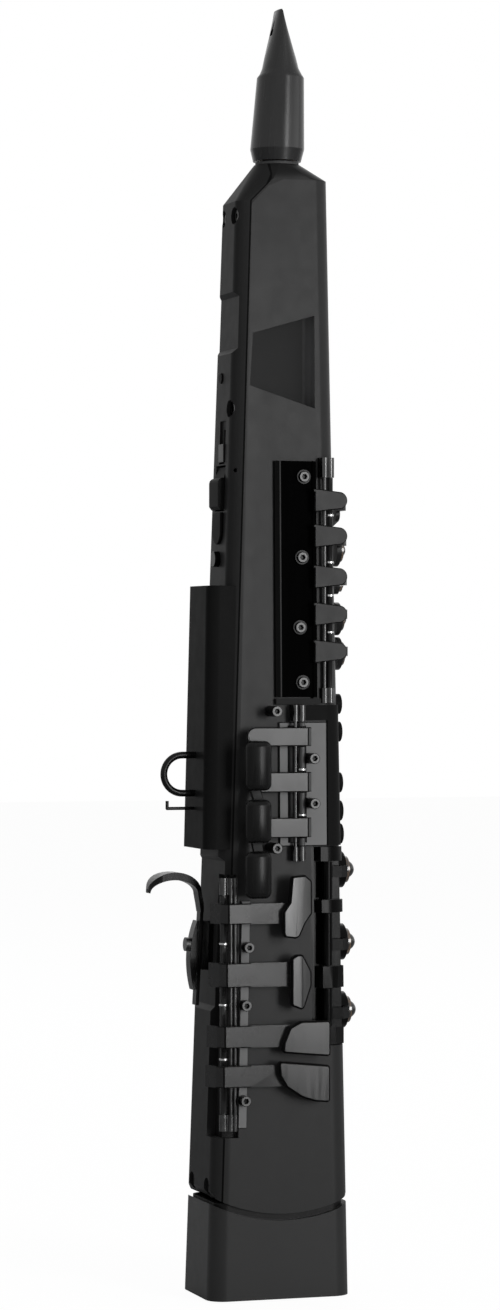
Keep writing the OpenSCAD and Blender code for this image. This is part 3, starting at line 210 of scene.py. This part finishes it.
def pale_floor():
    """Paper that keeps the object's shadow and is nearly white where the camera sees it."""
    bm = bmesh.new()
    bmesh.ops.create_grid(bm, x_segments=1, y_segments=1, size=FLOOR_REACH)
    bmesh.ops.translate(bm, verts=bm.verts, vec=(0, 0, -FLOOR_DROP))
    mesh = bpy.data.meshes.new("pale_floor")
    bm.to_mesh(mesh)
    bm.free()
    floor = bpy.data.objects.new("pale_floor", mesh)
    bpy.context.scene.collection.objects.link(floor)
    material = bpy.data.materials.new("pale_paper")
    material.use_nodes = True
    nodes = material.node_tree.nodes
    links = material.node_tree.links
    nodes.clear()
    out = nodes.new("ShaderNodeOutputMaterial")
    paper = nodes.new("ShaderNodeBsdfDiffuse")
    paper.inputs["Color"].default_value = (0.8, 0.8, 0.8, 1)
    glow = nodes.new("ShaderNodeEmission")
    glow.inputs["Strength"].default_value = FLOOR_GLOW
    rays = nodes.new("ShaderNodeLightPath")
    share = nodes.new("ShaderNodeMath")
    share.operation = "MULTIPLY"
    share.inputs[1].default_value = FLOOR_GLOW_SHARE
    links.new(rays.outputs["Is Camera Ray"], share.inputs[0])
    mix = nodes.new("ShaderNodeMixShader")
    links.new(share.outputs[0], mix.inputs["Fac"])
    links.new(paper.outputs[0], mix.inputs[1])
    links.new(glow.outputs[0], mix.inputs[2])
    links.new(mix.outputs[0], out.inputs["Surface"])
    mesh.materials.append(material)


# Parts of a finish

def start_finish(name):
    material = bpy.data.materials.new(name)
    material.use_nodes = True
    nodes = material.node_tree.nodes
    nodes.clear()
    out = nodes.new("ShaderNodeOutputMaterial")
    shader = nodes.new("ShaderNodeBsdfPrincipled")
    material.node_tree.links.new(shader.outputs[0], out.inputs["Surface"])
    place = nodes.new("ShaderNodeTexCoord")
    return material, shader, place.outputs["Object"]


def speckle(material, place, scale, detail=3.0, stretch=None):
    """Noise on object coordinates, drawn out along an axis where stretch says so."""
    nodes = material.node_tree.nodes
    links = material.node_tree.links
    if stretch:
        turn = nodes.new("ShaderNodeMapping")
        turn.inputs["Scale"].default_value = stretch
        links.new(place, turn.inputs["Vector"])
        place = turn.outputs["Vector"]
    noise = nodes.new("ShaderNodeTexNoise")
    noise.inputs["Scale"].default_value = scale
    noise.inputs["Detail"].default_value = detail
    links.new(place, noise.inputs["Vector"])
    return noise.outputs["Fac"]


def spread_to(material, value, low, high, start=0.3, end=0.7):
    """The value drawn out so that start to end becomes low to high."""
    spread = material.node_tree.nodes.new("ShaderNodeMapRange")
    spread.inputs["From Min"].default_value = start
    spread.inputs["From Max"].default_value = end
    spread.inputs["To Min"].default_value = low
    spread.inputs["To Max"].default_value = high
    material.node_tree.links.new(value, spread.inputs["Value"])
    return spread.outputs["Result"]


def ramp(material, value, start, end, low, high):
    """As spread_to, for a coordinate, with start and end in millimetres."""
    return spread_to(material, value, low, high, start * MM, end * MM)


def bent_line(material, value, points):
    """How far a bent line has come at this value; its points are in millimetres."""
    (start, low), (end, high) = points[:2]
    line = ramp(material, value, start, end, low * MM, high * MM)
    for (start, low), (end, high) in zip(points[1:], points[2:]):
        line = combined(material, "ADD", line, ramp(material, value, start, end, 0, (high - low) * MM))
    return line


def blend_colours(material, value, first, second):
    mix = material.node_tree.nodes.new("ShaderNodeMix")
    mix.data_type = "RGBA"
    mix.inputs["A"].default_value = first
    mix.inputs["B"].default_value = second
    material.node_tree.links.new(value, mix.inputs["Factor"])
    return mix.outputs["Result"]


def press_relief(material, shader, height, depth):
    """Small surface relief of this depth in metres."""
    relief = material.node_tree.nodes.new("ShaderNodeBump")
    relief.inputs["Distance"].default_value = depth
    relief.inputs["Strength"].default_value = 1.0
    material.node_tree.links.new(height, relief.inputs["Height"])
    material.node_tree.links.new(relief.outputs["Normal"], shader.inputs["Normal"])


def combined(holder, operation, first, second):
    """Two values of a material or world, joined by this operation."""
    joined = holder.node_tree.nodes.new("ShaderNodeMath")
    joined.operation = operation
    holder.node_tree.links.new(first, joined.inputs[0])
    holder.node_tree.links.new(second, joined.inputs[1])
    return joined.outputs[0]


def object_place(material):
    return material.node_tree.nodes["Texture Coordinate"].outputs["Object"]


def coordinates(material):
    split = material.node_tree.nodes.new("ShaderNodeSeparateXYZ")
    material.node_tree.links.new(object_place(material), split.inputs["Vector"])
    return split.outputs


def distance_from(material, centre, along):
    """Distance from an axis or point, where along keeps or drops each direction."""
    nodes = material.node_tree.nodes
    links = material.node_tree.links
    offset = nodes.new("ShaderNodeVectorMath")
    offset.operation = "SUBTRACT"
    offset.inputs[1].default_value = centre
    links.new(object_place(material), offset.inputs[0])
    flat = nodes.new("ShaderNodeVectorMath")
    flat.operation = "MULTIPLY"
    flat.inputs[1].default_value = along
    links.new(offset.outputs[0], flat.inputs[0])
    reach = nodes.new("ShaderNodeVectorMath")
    reach.operation = "LENGTH"
    links.new(flat.outputs[0], reach.inputs[0])
    return reach.outputs["Value"]


def paint_over(material, mask, colour):
    """Lay a colour over the base colour where the mask is one."""
    nodes = material.node_tree.nodes
    links = material.node_tree.links
    base = nodes["Principled BSDF"].inputs["Base Color"]
    below = base.links[0].from_socket
    mix = nodes.new("ShaderNodeMix")
    mix.data_type = "RGBA"
    links.new(below, mix.inputs["A"])
    mix.inputs["B"].default_value = colour
    links.new(mask, mix.inputs["Factor"])
    links.new(mix.outputs["Result"], base)


# Painted places

def darken_seam(material):
    """A dark line along the back shell's edge, where the front shell meets it."""
    at = coordinates(material)
    edge = bent_line(material, at["Z"], SEAM_LINE)
    past = combined(material, "SUBTRACT", at["X"], edge)
    paint_over(material, ramp(material, past, -SEAM_WIDTH, -SEAM_WIDTH + SEAM_FADE, 0, 1), grey(8))


def paint_shade_on_neck_top(material):
    """Painted shade: the neck block above the arched top of the side face, painted darker where its
    upward-facing roof falls dark.
    """
    at = coordinates(material)
    arch = bent_line(material, at["X"], NECK_ARCH)
    over = combined(material, "SUBTRACT", at["Z"], arch)
    paint_over(material, ramp(material, over, -NECK_FADE, NECK_FADE, 0, 1), grey(17))


def paint_bay_tone_and_shade(material):
    """The front corner of the case behind the right-hand keys, painted near-black: partly its dark
    plastic, partly painted shade of the recess behind the keys.
    """
    at = coordinates(material)
    inside = ramp(material, at["Z"], BAY_LOW, BAY_LOW + BAY_FADE, 0, 1)
    under = ramp(material, at["Z"], BAY_HIGH, BAY_HIGH - BAY_FADE, 0, 1)
    near = ramp(material, at["Y"], BAY_NEAR, BAY_NEAR - BAY_FADE, 0, 1)
    front = ramp(material, at["X"], BAY_FRONT, BAY_FRONT + BAY_FADE, 0, 1)
    for limit in (under, near, front):
        inside = combined(material, "MULTIPLY", inside, limit)
    paint_over(material, inside, grey(6))


def paint_light_on_scoop_end(material):
    """Painted light: the front end and wall of the hand scoop, which sit in shade, painted paler."""
    at = coordinates(material)
    paint_over(material, ramp(material, at["X"], SCOOP_PAINTED_LIGHT_FROM, SCOOP_PAINTED_LIGHT_TO, 0, 1), grey(104))


def mark_panel_line(material):
    """The thin bright line of light along the panel's step, the strip behind it and the bar below."""
    at = coordinates(material)
    back, front = PANEL_LINE
    strip = ramp(material, at["X"], back, back + PANEL_LINE_FADE, 1, 0)
    start = ramp(material, at["X"], back, back + PANEL_LINE_FADE, 0, 1)
    end = ramp(material, at["X"], front - PANEL_LINE_FADE, front, 1, 0)
    paint_over(material, strip, grey(16))
    paint_over(material, combined(material, "MULTIPLY", start, end), grey(62))
    bar = ramp(material, at["Z"], PANEL_BAR_TOP, PANEL_BAR_TOP - PANEL_BAR_FADE, 0, 1)
    paint_over(material, bar, grey(46))


def darken_joint(material):
    """The shaded bottom of the groove that runs along the curved joint."""
    reach = distance_from(material, CAP_JOINT_CENTRE, along=(1, 0, 1))
    inside = ramp(material, reach, CAP_JOINT_REACH, CAP_JOINT_REACH + CAP_JOINT_FADE, 1, 0)
    paint_over(material, inside, grey(6))


# Finishes

def moulded_plastic(name, colour, rough, gloss=0.2):
    """Injection-moulded plastic with a fine spark-eroded grain and slightly uneven sheen."""
    material, shader, place = start_finish(name)
    links = material.node_tree.links
    shade = spread_to(material, speckle(material, place, scale=38, detail=4), 0, 1)
    mottled = blend_colours(material, shade, scaled(colour, 0.96), scaled(colour, 1.04))
    links.new(mottled, shader.inputs["Base Color"])
    rub = speckle(material, place, scale=160, detail=5)
    links.new(spread_to(material, rub, rough - 0.02, rough + 0.03), shader.inputs["Roughness"])
    shader.inputs["Specular IOR Level"].default_value = gloss
    press_relief(material, shader, speckle(material, place, scale=2600, detail=2), depth=0.000012)
    return material


def polished_plastic(name, colour, rough, gloss=0.5):
    """Polished plastic with faint hairline rubs."""
    material, shader, place = start_finish(name)
    links = material.node_tree.links
    hairs = speckle(material, place, scale=420, detail=6, stretch=(1, 1, 0.08))
    rubbed = blend_colours(material, spread_to(material, hairs, 0, 1), scaled(colour, 0.9),
                           scaled(colour, 1.15))
    links.new(rubbed, shader.inputs["Base Color"])
    links.new(spread_to(material, hairs, rough * 0.8, rough * 1.5), shader.inputs["Roughness"])
    shader.inputs["Specular IOR Level"].default_value = gloss
    press_relief(material, shader, speckle(material, place, scale=300, detail=3), depth=0.000006)
    return material


def blackened_steel(name, colour, rough):
    """Steel rod or screw with a black oxide skin and turned lines."""
    material, shader, place = start_finish(name)
    links = material.node_tree.links
    rubs = speckle(material, place, scale=700, detail=5, stretch=(1, 1, 0.25))
    oxide = blend_colours(material, spread_to(material, rubs, 0, 1), scaled(colour, 0.75),
                          scaled(colour, 1.3))
    links.new(oxide, shader.inputs["Base Color"])
    links.new(spread_to(material, rubs, rough - 0.06, rough + 0.1), shader.inputs["Roughness"])
    shader.inputs["Metallic"].default_value = 1.0
    press_relief(material, shader, speckle(material, place, scale=1800, detail=2), depth=0.000006)
    return material


def shell_pearl(name):
    """Dark brown pearl touch: growth rings and cloudy layers under a clear polish."""
    material, shader, place = start_finish(name)
    links = material.node_tree.links
    cloud = speckle(material, place, scale=260, detail=6, stretch=(1, 1, 2.2))
    rings = material.node_tree.nodes.new("ShaderNodeTexWave")
    rings.inputs["Scale"].default_value = 190
    rings.inputs["Distortion"].default_value = 9
    rings.inputs["Detail"].default_value = 3
    links.new(place, rings.inputs["Vector"])
    layers = combined(material, "MULTIPLY", cloud, rings.outputs["Fac"])
    brown = blend_colours(material, spread_to(material, layers, 0, 1, 0.1, 0.5),
                          (0.010, 0.007, 0.005, 1), (0.105, 0.062, 0.032, 1))
    links.new(brown, shader.inputs["Base Color"])
    links.new(spread_to(material, cloud, 0.16, 0.34), shader.inputs["Roughness"])
    shader.inputs["Coat Weight"].default_value = 0.6
    shader.inputs["Coat Roughness"].default_value = 0.12
    press_relief(material, shader, cloud, depth=0.00001)
    return material


def tenon_cork(name):
    """Cork with dark pores; the bare tube above and below it is dark."""
    material, shader, place = start_finish(name)
    nodes = material.node_tree.nodes
    links = material.node_tree.links
    pores = nodes.new("ShaderNodeTexVoronoi")
    pores.inputs["Scale"].default_value = 900
    links.new(place, pores.inputs["Vector"])
    grain = speckle(material, place, scale=420, detail=6)
    cork = blend_colours(material, spread_to(material, grain, 0, 1), (0.30, 0.17, 0.08, 1),
                         (0.58, 0.38, 0.20, 1))
    on_tenon = nodes.new("ShaderNodeMath")
    on_tenon.operation = "COMPARE"
    on_tenon.inputs[1].default_value = CORK_RADIUS
    on_tenon.inputs[2].default_value = CORK_SPREAD
    links.new(distance_from(material, TENON_AXIS, along=(1, 1, 0)), on_tenon.inputs[0])
    mix = nodes.new("ShaderNodeMix")
    mix.data_type = "RGBA"
    mix.inputs["A"].default_value = grey(44)
    links.new(cork, mix.inputs["B"])
    links.new(on_tenon.outputs[0], mix.inputs["Factor"])
    links.new(mix.outputs["Result"], shader.inputs["Base Color"])
    rough = spread_to(material, pores.outputs["Distance"], 0.45, 0.8, 0, 0.6)
    links.new(rough, shader.inputs["Roughness"])
    press_relief(material, shader, pores.outputs["Distance"], depth=0.00006)
    return material


def printed_board(name):
    """Solder mask with copper lines."""
    material, shader, place = start_finish(name)
    links = material.node_tree.links
    tracks = material.node_tree.nodes.new("ShaderNodeTexBrick")
    tracks.inputs["Scale"].default_value = 160
    tracks.inputs["Mortar Size"].default_value = 0.03
    tracks.inputs["Color1"].default_value = (0.012, 0.07, 0.025, 1)
    tracks.inputs["Color2"].default_value = (0.016, 0.09, 0.03, 1)
    tracks.inputs["Mortar"].default_value = (0.06, 0.20, 0.07, 1)
    links.new(place, tracks.inputs["Vector"])
    links.new(tracks.outputs["Color"], shader.inputs["Base Color"])
    rough = spread_to(material, speckle(material, place, scale=200), 0.3, 0.5)
    links.new(rough, shader.inputs["Roughness"])
    press_relief(material, shader, tracks.outputs["Fac"], depth=0.00003)
    return material


# Making pieces

def merged_copy(node):
    """The CAD node's triangles, joined at their seams and with flat faces made whole."""
    bm = bmesh.new()
    bm.from_mesh(frame["nodes"][node].data)
    bmesh.ops.remove_doubles(bm, verts=bm.verts, dist=WELD)
    bmesh.ops.dissolve_degenerate(bm, dist=WELD, edges=bm.edges)
    bmesh.ops.dissolve_limit(bm, angle_limit=math.radians(FLAT_WITHIN), verts=bm.verts, edges=bm.edges)
    return bm


def round_edges(bm, width, segments, where, clamp):
    """Rounds the sharp edges that where picks, and gives back the faces of the rounds."""
    edges = []
    for edge in bm.edges:
        if not edge.is_manifold:
            continue
        if edge.calc_face_angle(0) < math.radians(ROUND_ABOVE):
            continue
        middle = (edge.verts[0].co + edge.verts[1].co) / 2 / MM
        if where is None or where(middle, edge):
            edges.append(edge)
    if not edges:
        return []
    rounded = bmesh.ops.bevel(bm, geom=edges, offset=width * MM, offset_type="OFFSET",
                              segments=segments, profile=0.5, affect="EDGES",
                              clamp_overlap=clamp, material=-1)
    return rounded["faces"]


def add_piece(name, bm, materials, body):
    mesh = bpy.data.meshes.new(name)
    bm.to_mesh(mesh)
    bm.free()
    mesh.polygons.foreach_set("use_smooth", [True] * len(mesh.polygons))
    mesh.set_sharp_from_angle(angle=math.radians(SHARP_ABOVE))
    piece = bpy.data.objects.new(name, mesh)
    bpy.context.scene.collection.objects.link(piece)
    for material in materials:
        mesh.materials.append(material)
    even = piece.modifiers.new("even_normals", "WEIGHTED_NORMAL")
    even.keep_sharp = True
    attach(piece, body)
    return piece


def dress(node, material, width=0.0, segments=2, where=None, second=None, part=None,
          soft=0.0, soft_part=None, bend=None, rim=None):
    """A finished copy of a CAD node with rounded edges, sizes in millimetres.

    The bend shapes the copy first, part picks faces for the second finish, soft and soft_part
    round some edges more than the rest, and rim is the finish of all the rounds, a darker one that
    paints shade along them.
    """
    bm = merged_copy(node)
    if bend:
        bend(bm)
    finishes = [material]
    if second:
        for face in part(bm):
            face.material_index = 1
        finishes.append(second)
    rounds = []
    if soft:
        rounds.append((soft, SOFT_SEGMENTS, soft_part))
    if width:
        rounds.append((width, segments, where))
    for offset, steps, chosen in rounds:
        rounded = round_edges(bm, offset, steps, chosen, clamp=not rim)
        if rim:
            for face in rounded:
                face.material_index = len(finishes)
    if rim:
        finishes.append(rim)
    piece = add_piece(node + "_finished", bm, finishes, BODY_OF[node])
    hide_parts(node)


def recolour(node, material):
    mesh = frame["nodes"][node].data
    mesh.materials.clear()
    mesh.materials.append(material)


# Which faces and edges

def loose_parts(bm):
    """The unconnected parts of a mesh, each a list of faces that grows by their neighbours."""
    seen = set()
    found = []
    for first in bm.faces:
        if first in seen:
            continue
        seen.add(first)
        part = [first]
        for face in part:
            for edge in face.edges:
                for other in edge.link_faces:
                    if other not in seen:
                        seen.add(other)
                        part.append(other)
        found.append(part)
    return found


def faces_near_side(face):
    return face.normal.y < -0.9


def head_faces(bm):
    """The bright middle ring of every screw head, inside a dark rim."""
    picked = []
    for screw in loose_parts(bm):
        nearest = min(vert.co.y for face in screw for vert in face.verts)
        for face in screw:
            if faces_near_side(face) and face.calc_center_median().y < nearest + SCREW_HEAD_DEPTH * MM:
                picked.append(face)
    bmesh.ops.inset_region(bm, faces=picked, thickness=SCREW_HEAD_RIM * MM, use_boundary=True,
                           use_even_offset=True)
    return picked


def faces_nearer_than(limit):
    return lambda bm: [face for face in bm.faces if face.calc_center_median().y < limit * MM]


def faces_behind(limit):
    return lambda bm: [face for face in bm.faces if face.calc_center_median().x < limit * MM]


def edges_nearer_than(limit):
    return lambda middle, edge: middle.y < limit


def on_arm(middle, edge):
    """The long outer edges of a low key's arm, clear of the stem under its touch."""
    if not LOW_ARM_FRONT < middle.y < LOW_ARM_BACK:
        return False
    return middle.x < LOW_ARM_END and edge.calc_length() > LOW_ARM_SHORTEST * MM


def in_scoop_corner(middle, edge):
    """The upright corner between the scoop's floor and its front wall."""
    near, far = SCOOP_CORNER_SIDES
    if not (SCOOP_LOW < middle.z < SCOOP_HIGH and near < middle.y < far):
        return False
    return abs(middle.x - SCOOP_CORNER) < SCOOP_CORNER_REACH


def scoop_faces(bm):
    """The floor and walls of the hand scoop, behind the side face, which leans in as it rises."""
    picked = []
    for face in bm.faces:
        middle = face.calc_center_median() / MM
        side_face = SIDE_FACE_AT_FOOT + SIDE_FACE_LEAN * middle.z / SHOULDER
        in_length = SCOOP_LOW < middle.z < SCOOP_HIGH
        in_width = SCOOP_BACK < middle.x < SCOOP_FRONT
        if in_length and in_width and side_face + SCOOP_LIP < middle.y < SCOOP_FLOOR:
            picked.append(face)
    return picked


def dome_faces(bm):
    """A pearl's dome, in front of the flat front of its rim."""
    flats = [face for face in bm.faces if face.normal.x > 0.999]
    rim = max(flats, key=lambda face: face.calc_area()).calc_center_median().x
    return [face for face in bm.faces if face.calc_center_median().x > rim + DOME_ABOVE_RIM * MM]


def roll_off(front, left, right, drop, middle=None, depth=TOUCH_SKIN):
    """Bends the flat front of a touch back toward its sides, from a crest at middle or at left."""
    crest = left if middle is None else middle
    reach = max(right - crest, crest - left)

    def bend(bm):
        for step in range(TOUCH_STRIPS + 1):
            x = left + (right - left) * step / TOUCH_STRIPS
            flat = [face for face in bm.faces if faces_near_side(face)
                    and abs(face.calc_center_median().y - front * MM) < TOUCH_UNEVEN * MM]
            edges = {edge for face in flat for edge in face.edges}
            verts = {vert for face in flat for vert in face.verts}
            bmesh.ops.bisect_plane(bm, geom=flat + list(edges) + list(verts), dist=CUT_WELD,
                                   plane_co=(x * MM, 0, 0), plane_no=(1, 0, 0))
        for vert in bm.verts:
            if vert.co.y < (front + depth) * MM:
                share = (vert.co.x / MM - crest) / reach
                vert.co.y += drop * MM * min(share * share, TOUCH_BEND_LIMIT)
    return bend


def turned_washers(hinge, rod_radius, heights):
    """Washers on the upright rod of this hinge, centred at these heights in millimetres."""
    axis_x, axis_y = HINGE_AT[hinge][:2]
    inner = rod_radius + WASHER_PLAY
    outer = rod_radius + WASHER_RIM
    flat = outer - WASHER_CHAMFER
    profile = [(inner, 0), (flat, 0), (outer, WASHER_CHAMFER), (outer, WASHER_THICK - WASHER_CHAMFER),
               (flat, WASHER_THICK), (inner, WASHER_THICK)]
    bm = bmesh.new()
    for height in heights:
        foot = height - WASHER_THICK / 2
        verts = [bm.verts.new((axis_x + radius * MM, axis_y, (foot + rise) * MM))
                 for radius, rise in profile]
        edges = [bm.edges.new(ends) for ends in zip(verts, verts[1:] + verts[:1])]
        bmesh.ops.spin(bm, geom=verts + edges, cent=(axis_x, axis_y, 0), axis=(0, 0, 1),
                       angle=math.tau, steps=WASHER_STEPS, use_merge=True)
    bmesh.ops.remove_doubles(bm, verts=bm.verts, dist=WELD)
    bmesh.ops.recalc_face_normals(bm, faces=bm.faces)
    return bm


# The object's finishes

SHELL = moulded_plastic("side_shell_plastic", grey(40), rough=0.38, gloss=0.1)
# Painted shade on the neck block above the side face.
paint_shade_on_neck_top(SHELL)
# The corner behind the right-hand keys painted near-black, partly as painted shade.
paint_bay_tone_and_shade(SHELL)
SCOOP = moulded_plastic("scoop_plastic", grey(44), rough=0.5, gloss=0.02)
# Painted light on the shaded front end of the scoop.
paint_light_on_scoop_end(SCOOP)
BACK = moulded_plastic("back_shell_plastic", grey(24), rough=0.42, gloss=0.012)
SEAMED_BACK = moulded_plastic("seamed_back_plastic", grey(40), rough=0.42, gloss=0.03)
darken_seam(SEAMED_BACK)
CAP = moulded_plastic("end_cap_plastic", grey(42), rough=0.4, gloss=0.13)
darken_joint(CAP)
PANEL = polished_plastic("gloss_side_panel", grey(5), rough=0.4, gloss=0.0)
mark_panel_line(PANEL)
BLACK_GLOSS = polished_plastic("gloss_key_black", grey(6), rough=0.16, gloss=0.06)
HOOK_BLACK = polished_plastic("hook_black", grey(8), rough=0.22, gloss=0.14)
MOUTHPIECE_BLACK = polished_plastic("mouthpiece_black", grey(34), rough=0.2, gloss=0.26)
TAB_GREY = moulded_plastic("front_key_plastic", grey(30), rough=0.3, gloss=0.09)
ARM_GREY = moulded_plastic("low_key_plastic", grey(30), rough=0.26, gloss=0.24)
TOUCH_GREY = polished_plastic("low_touch_plastic", grey(18), rough=0.18, gloss=0.36)
SIDE_GREY = moulded_plastic("side_key_plastic", grey(62), rough=0.32, gloss=0.28)
PILL_GREY = polished_plastic("side_touch_gloss", grey(12), rough=0.24, gloss=0.12)
BRACKET_GREY = moulded_plastic("bracket_plastic", grey(100), rough=0.4, gloss=0.16)
# Painted shade: a near-black finish for the rounded edges of keys and brackets, where light falls off.
PAINTED_EDGE_SHADE = moulded_plastic("painted_edge_shade_plastic", grey(10), rough=0.34, gloss=0.03)
ROD_BLACK = blackened_steel("hinge_rod_steel", grey(70), rough=0.22)
SCREW_BLACK = blackened_steel("screw_oxide", grey(26), rough=0.3)
SCREW_FACE = blackened_steel("screw_head_face", grey(72), rough=0.42)
BRIGHT_STEEL = blackened_steel("washer_steel", grey(190), rough=0.25)
SCREW_STEEL = blackened_steel("case_screw_steel", grey(26), rough=0.3)
PEARL = shell_pearl("brown_pearl")
PEARL_DOME = polished_plastic("pearl_dome", grey(10), rough=0.14, gloss=0.5)
CORK = tenon_cork("tenon_cork")

# The studio

bpy.context.scene.view_settings.view_transform = "Standard"
place_camera()
white_room()
pale_floor()
place_softbox("softbox_near", azimuth=23.5, height=0.33, distance=2.2, width=0.42, tall=1.38, power=27.5)
place_softbox("softbox_far", azimuth=34.5, height=0.34, distance=2.2, width=0.42, tall=1.38, power=3)
place_softbox("card_right", azimuth=60, height=0.88, distance=2.2, width=2.0, tall=0.3, power=3.4)
place_softbox("softbox_rear", azimuth=168, height=1.9, distance=1.6, width=0.9, tall=0.9, power=9)
place_softbox("strip_right", azimuth=17.6, height=0.36, distance=1.8, width=0.05, tall=1.2, power=3.6)

# The case and what is fixed to it

dress("front_shell", SHELL, 0.5, 3, second=SCOOP, part=scoop_faces, soft=4, soft_part=in_scoop_corner)
dress("back_shell", SEAMED_BACK, 0.4, 3)
dress("end_cap", CAP, 0.5, 3)
dress("neck_collar", CORK, 0.2)
dress("back_housing", BACK, 1.2, 4)
washers = (("lh_stack_washers", "lh_b_press", 1.3, (306.2, 323.2, 338.5, 360.2)),
           ("side_key_washers", "side_c_press", 1.5, (222.2, 243.1)),
           ("low_key_washers", "low_c_press", 1.75, (110.6, 135.5, 163.5)))
for name, hinge, rod_radius, heights in washers:
    add_piece(name, turned_washers(hinge, rod_radius, heights), [BRIGHT_STEEL], BODY_OF["side_plate"])
recolour("battery_pack", moulded_plastic("battery_wrap", (0.01, 0.03, 0.09, 1), rough=0.3))
recolour("main_board", printed_board("board_green"))
recolour("breath_sensor", blackened_steel("sensor_metal", grey(170), rough=0.3))
dress("case_screws", SCREW_STEEL, 0.2)
dress("side_plate", PANEL, 0.25)
dress("key_screws", SCREW_BLACK, 0.2, second=SCREW_FACE, part=head_faces)
dress("stack_cover", BACK, 0.3)
dress("side_key_bracket", BRACKET_GREY, 0.4, rim=PAINTED_EDGE_SHADE)
dress("lh_stack_rods", ROD_BLACK, 0.2)
dress("rh_stack_frame", BLACK_GLOSS, 0.4)
dress("side_key_rods", ROD_BLACK, 0.2)
dress("low_key_rail", BRACKET_GREY, 0.25, rim=PAINTED_EDGE_SHADE)
dress("low_key_rods", ROD_BLACK, 0.2)
dress("strap_ring", HOOK_BLACK)
dress("cable_hook", HOOK_BLACK)
dress("thumb_rest", BACK, 0.5, 3)
dress("thumb_hook_base", HOOK_BLACK, 0.4)
dress("thumb_hook_clamp", HOOK_BLACK, 0.3, second=SCREW_FACE, part=faces_behind(CLAMP_SCREW_FRONT))
dress("left_key_posts", ROD_BLACK, 0.2)
dress("headphone_jack", BLACK_GLOSS, 0.15)

# The mouthpiece, keys and controls

dress("mouthpiece", MOUTHPIECE_BLACK)
for key in ("lh_front_f_key", "lh_b_key", "lh_bis_key", "lh_a_key", "lh_g_key"):
    dress(key, TAB_GREY, 0.45, 3, where=edges_nearer_than(FRONT_KEY_BACK), rim=PAINTED_EDGE_SHADE)
for key in ("rh_f_key", "rh_e_key", "rh_d_key"):
    dress(key, BLACK_GLOSS, 0.3)
for note in ("lh_b", "lh_bis", "lh_a", "lh_g", "rh_f", "rh_e", "rh_d"):
    dress(note + "_pearl", PEARL, 0.15, second=PEARL_DOME, part=dome_faces)
for key in ("side_high_e_key", "side_c_key", "side_b_flat_key"):
    dress(key, SIDE_GREY, 0.45, where=edges_nearer_than(SIDE_KEY_BACK), second=PILL_GREY,
          part=faces_nearer_than(SIDE_TOUCH_BACK), rim=PAINTED_EDGE_SHADE,
          bend=roll_off(SIDE_TOUCH_FRONT, left=-19.2, right=-13.3, drop=0.5, middle=-16.25,
                        depth=SIDE_TOUCH_DEPTH))
low_touches = (("high_f_sharp_key", -3.7, 10.6, 1.0), ("alt_f_sharp_key", 0.2, 10.4, 0.9),
               ("low_e_flat_key", -4.1, 19.4, 0.35), ("low_c_key", -6.0, 19.4, 0.35))
for key, left, right, drop in low_touches:
    dress(key, ARM_GREY, 0.45, 3, where=on_arm, second=TOUCH_GREY,
          part=faces_nearer_than(LOW_STEM_BACK), soft=0.9,
          soft_part=edges_nearer_than(LOW_TOUCH_BACK), rim=PAINTED_EDGE_SHADE,
          bend=roll_off(LOW_TOUCH_FRONT, left, right, drop))
for key in ("palm_d_key", "palm_e_flat_key", "palm_f_key"):
    dress(key, ARM_GREY, 0.6, 3)
for key in ("table_g_sharp_key", "table_c_sharp_key", "table_b_key", "table_b_flat_key"):
    dress(key, ARM_GREY, 0.5, 3)
dress("octave_key", BACK, 0.5, 3)
dress("thumb_button", BLACK_GLOSS, 0.3)
dress("power_slider", TAB_GREY, 0.3)
dress("function_button", BACK, 0.3)
dress("thumb_hook", HOOK_BLACK, 0.6, 3)
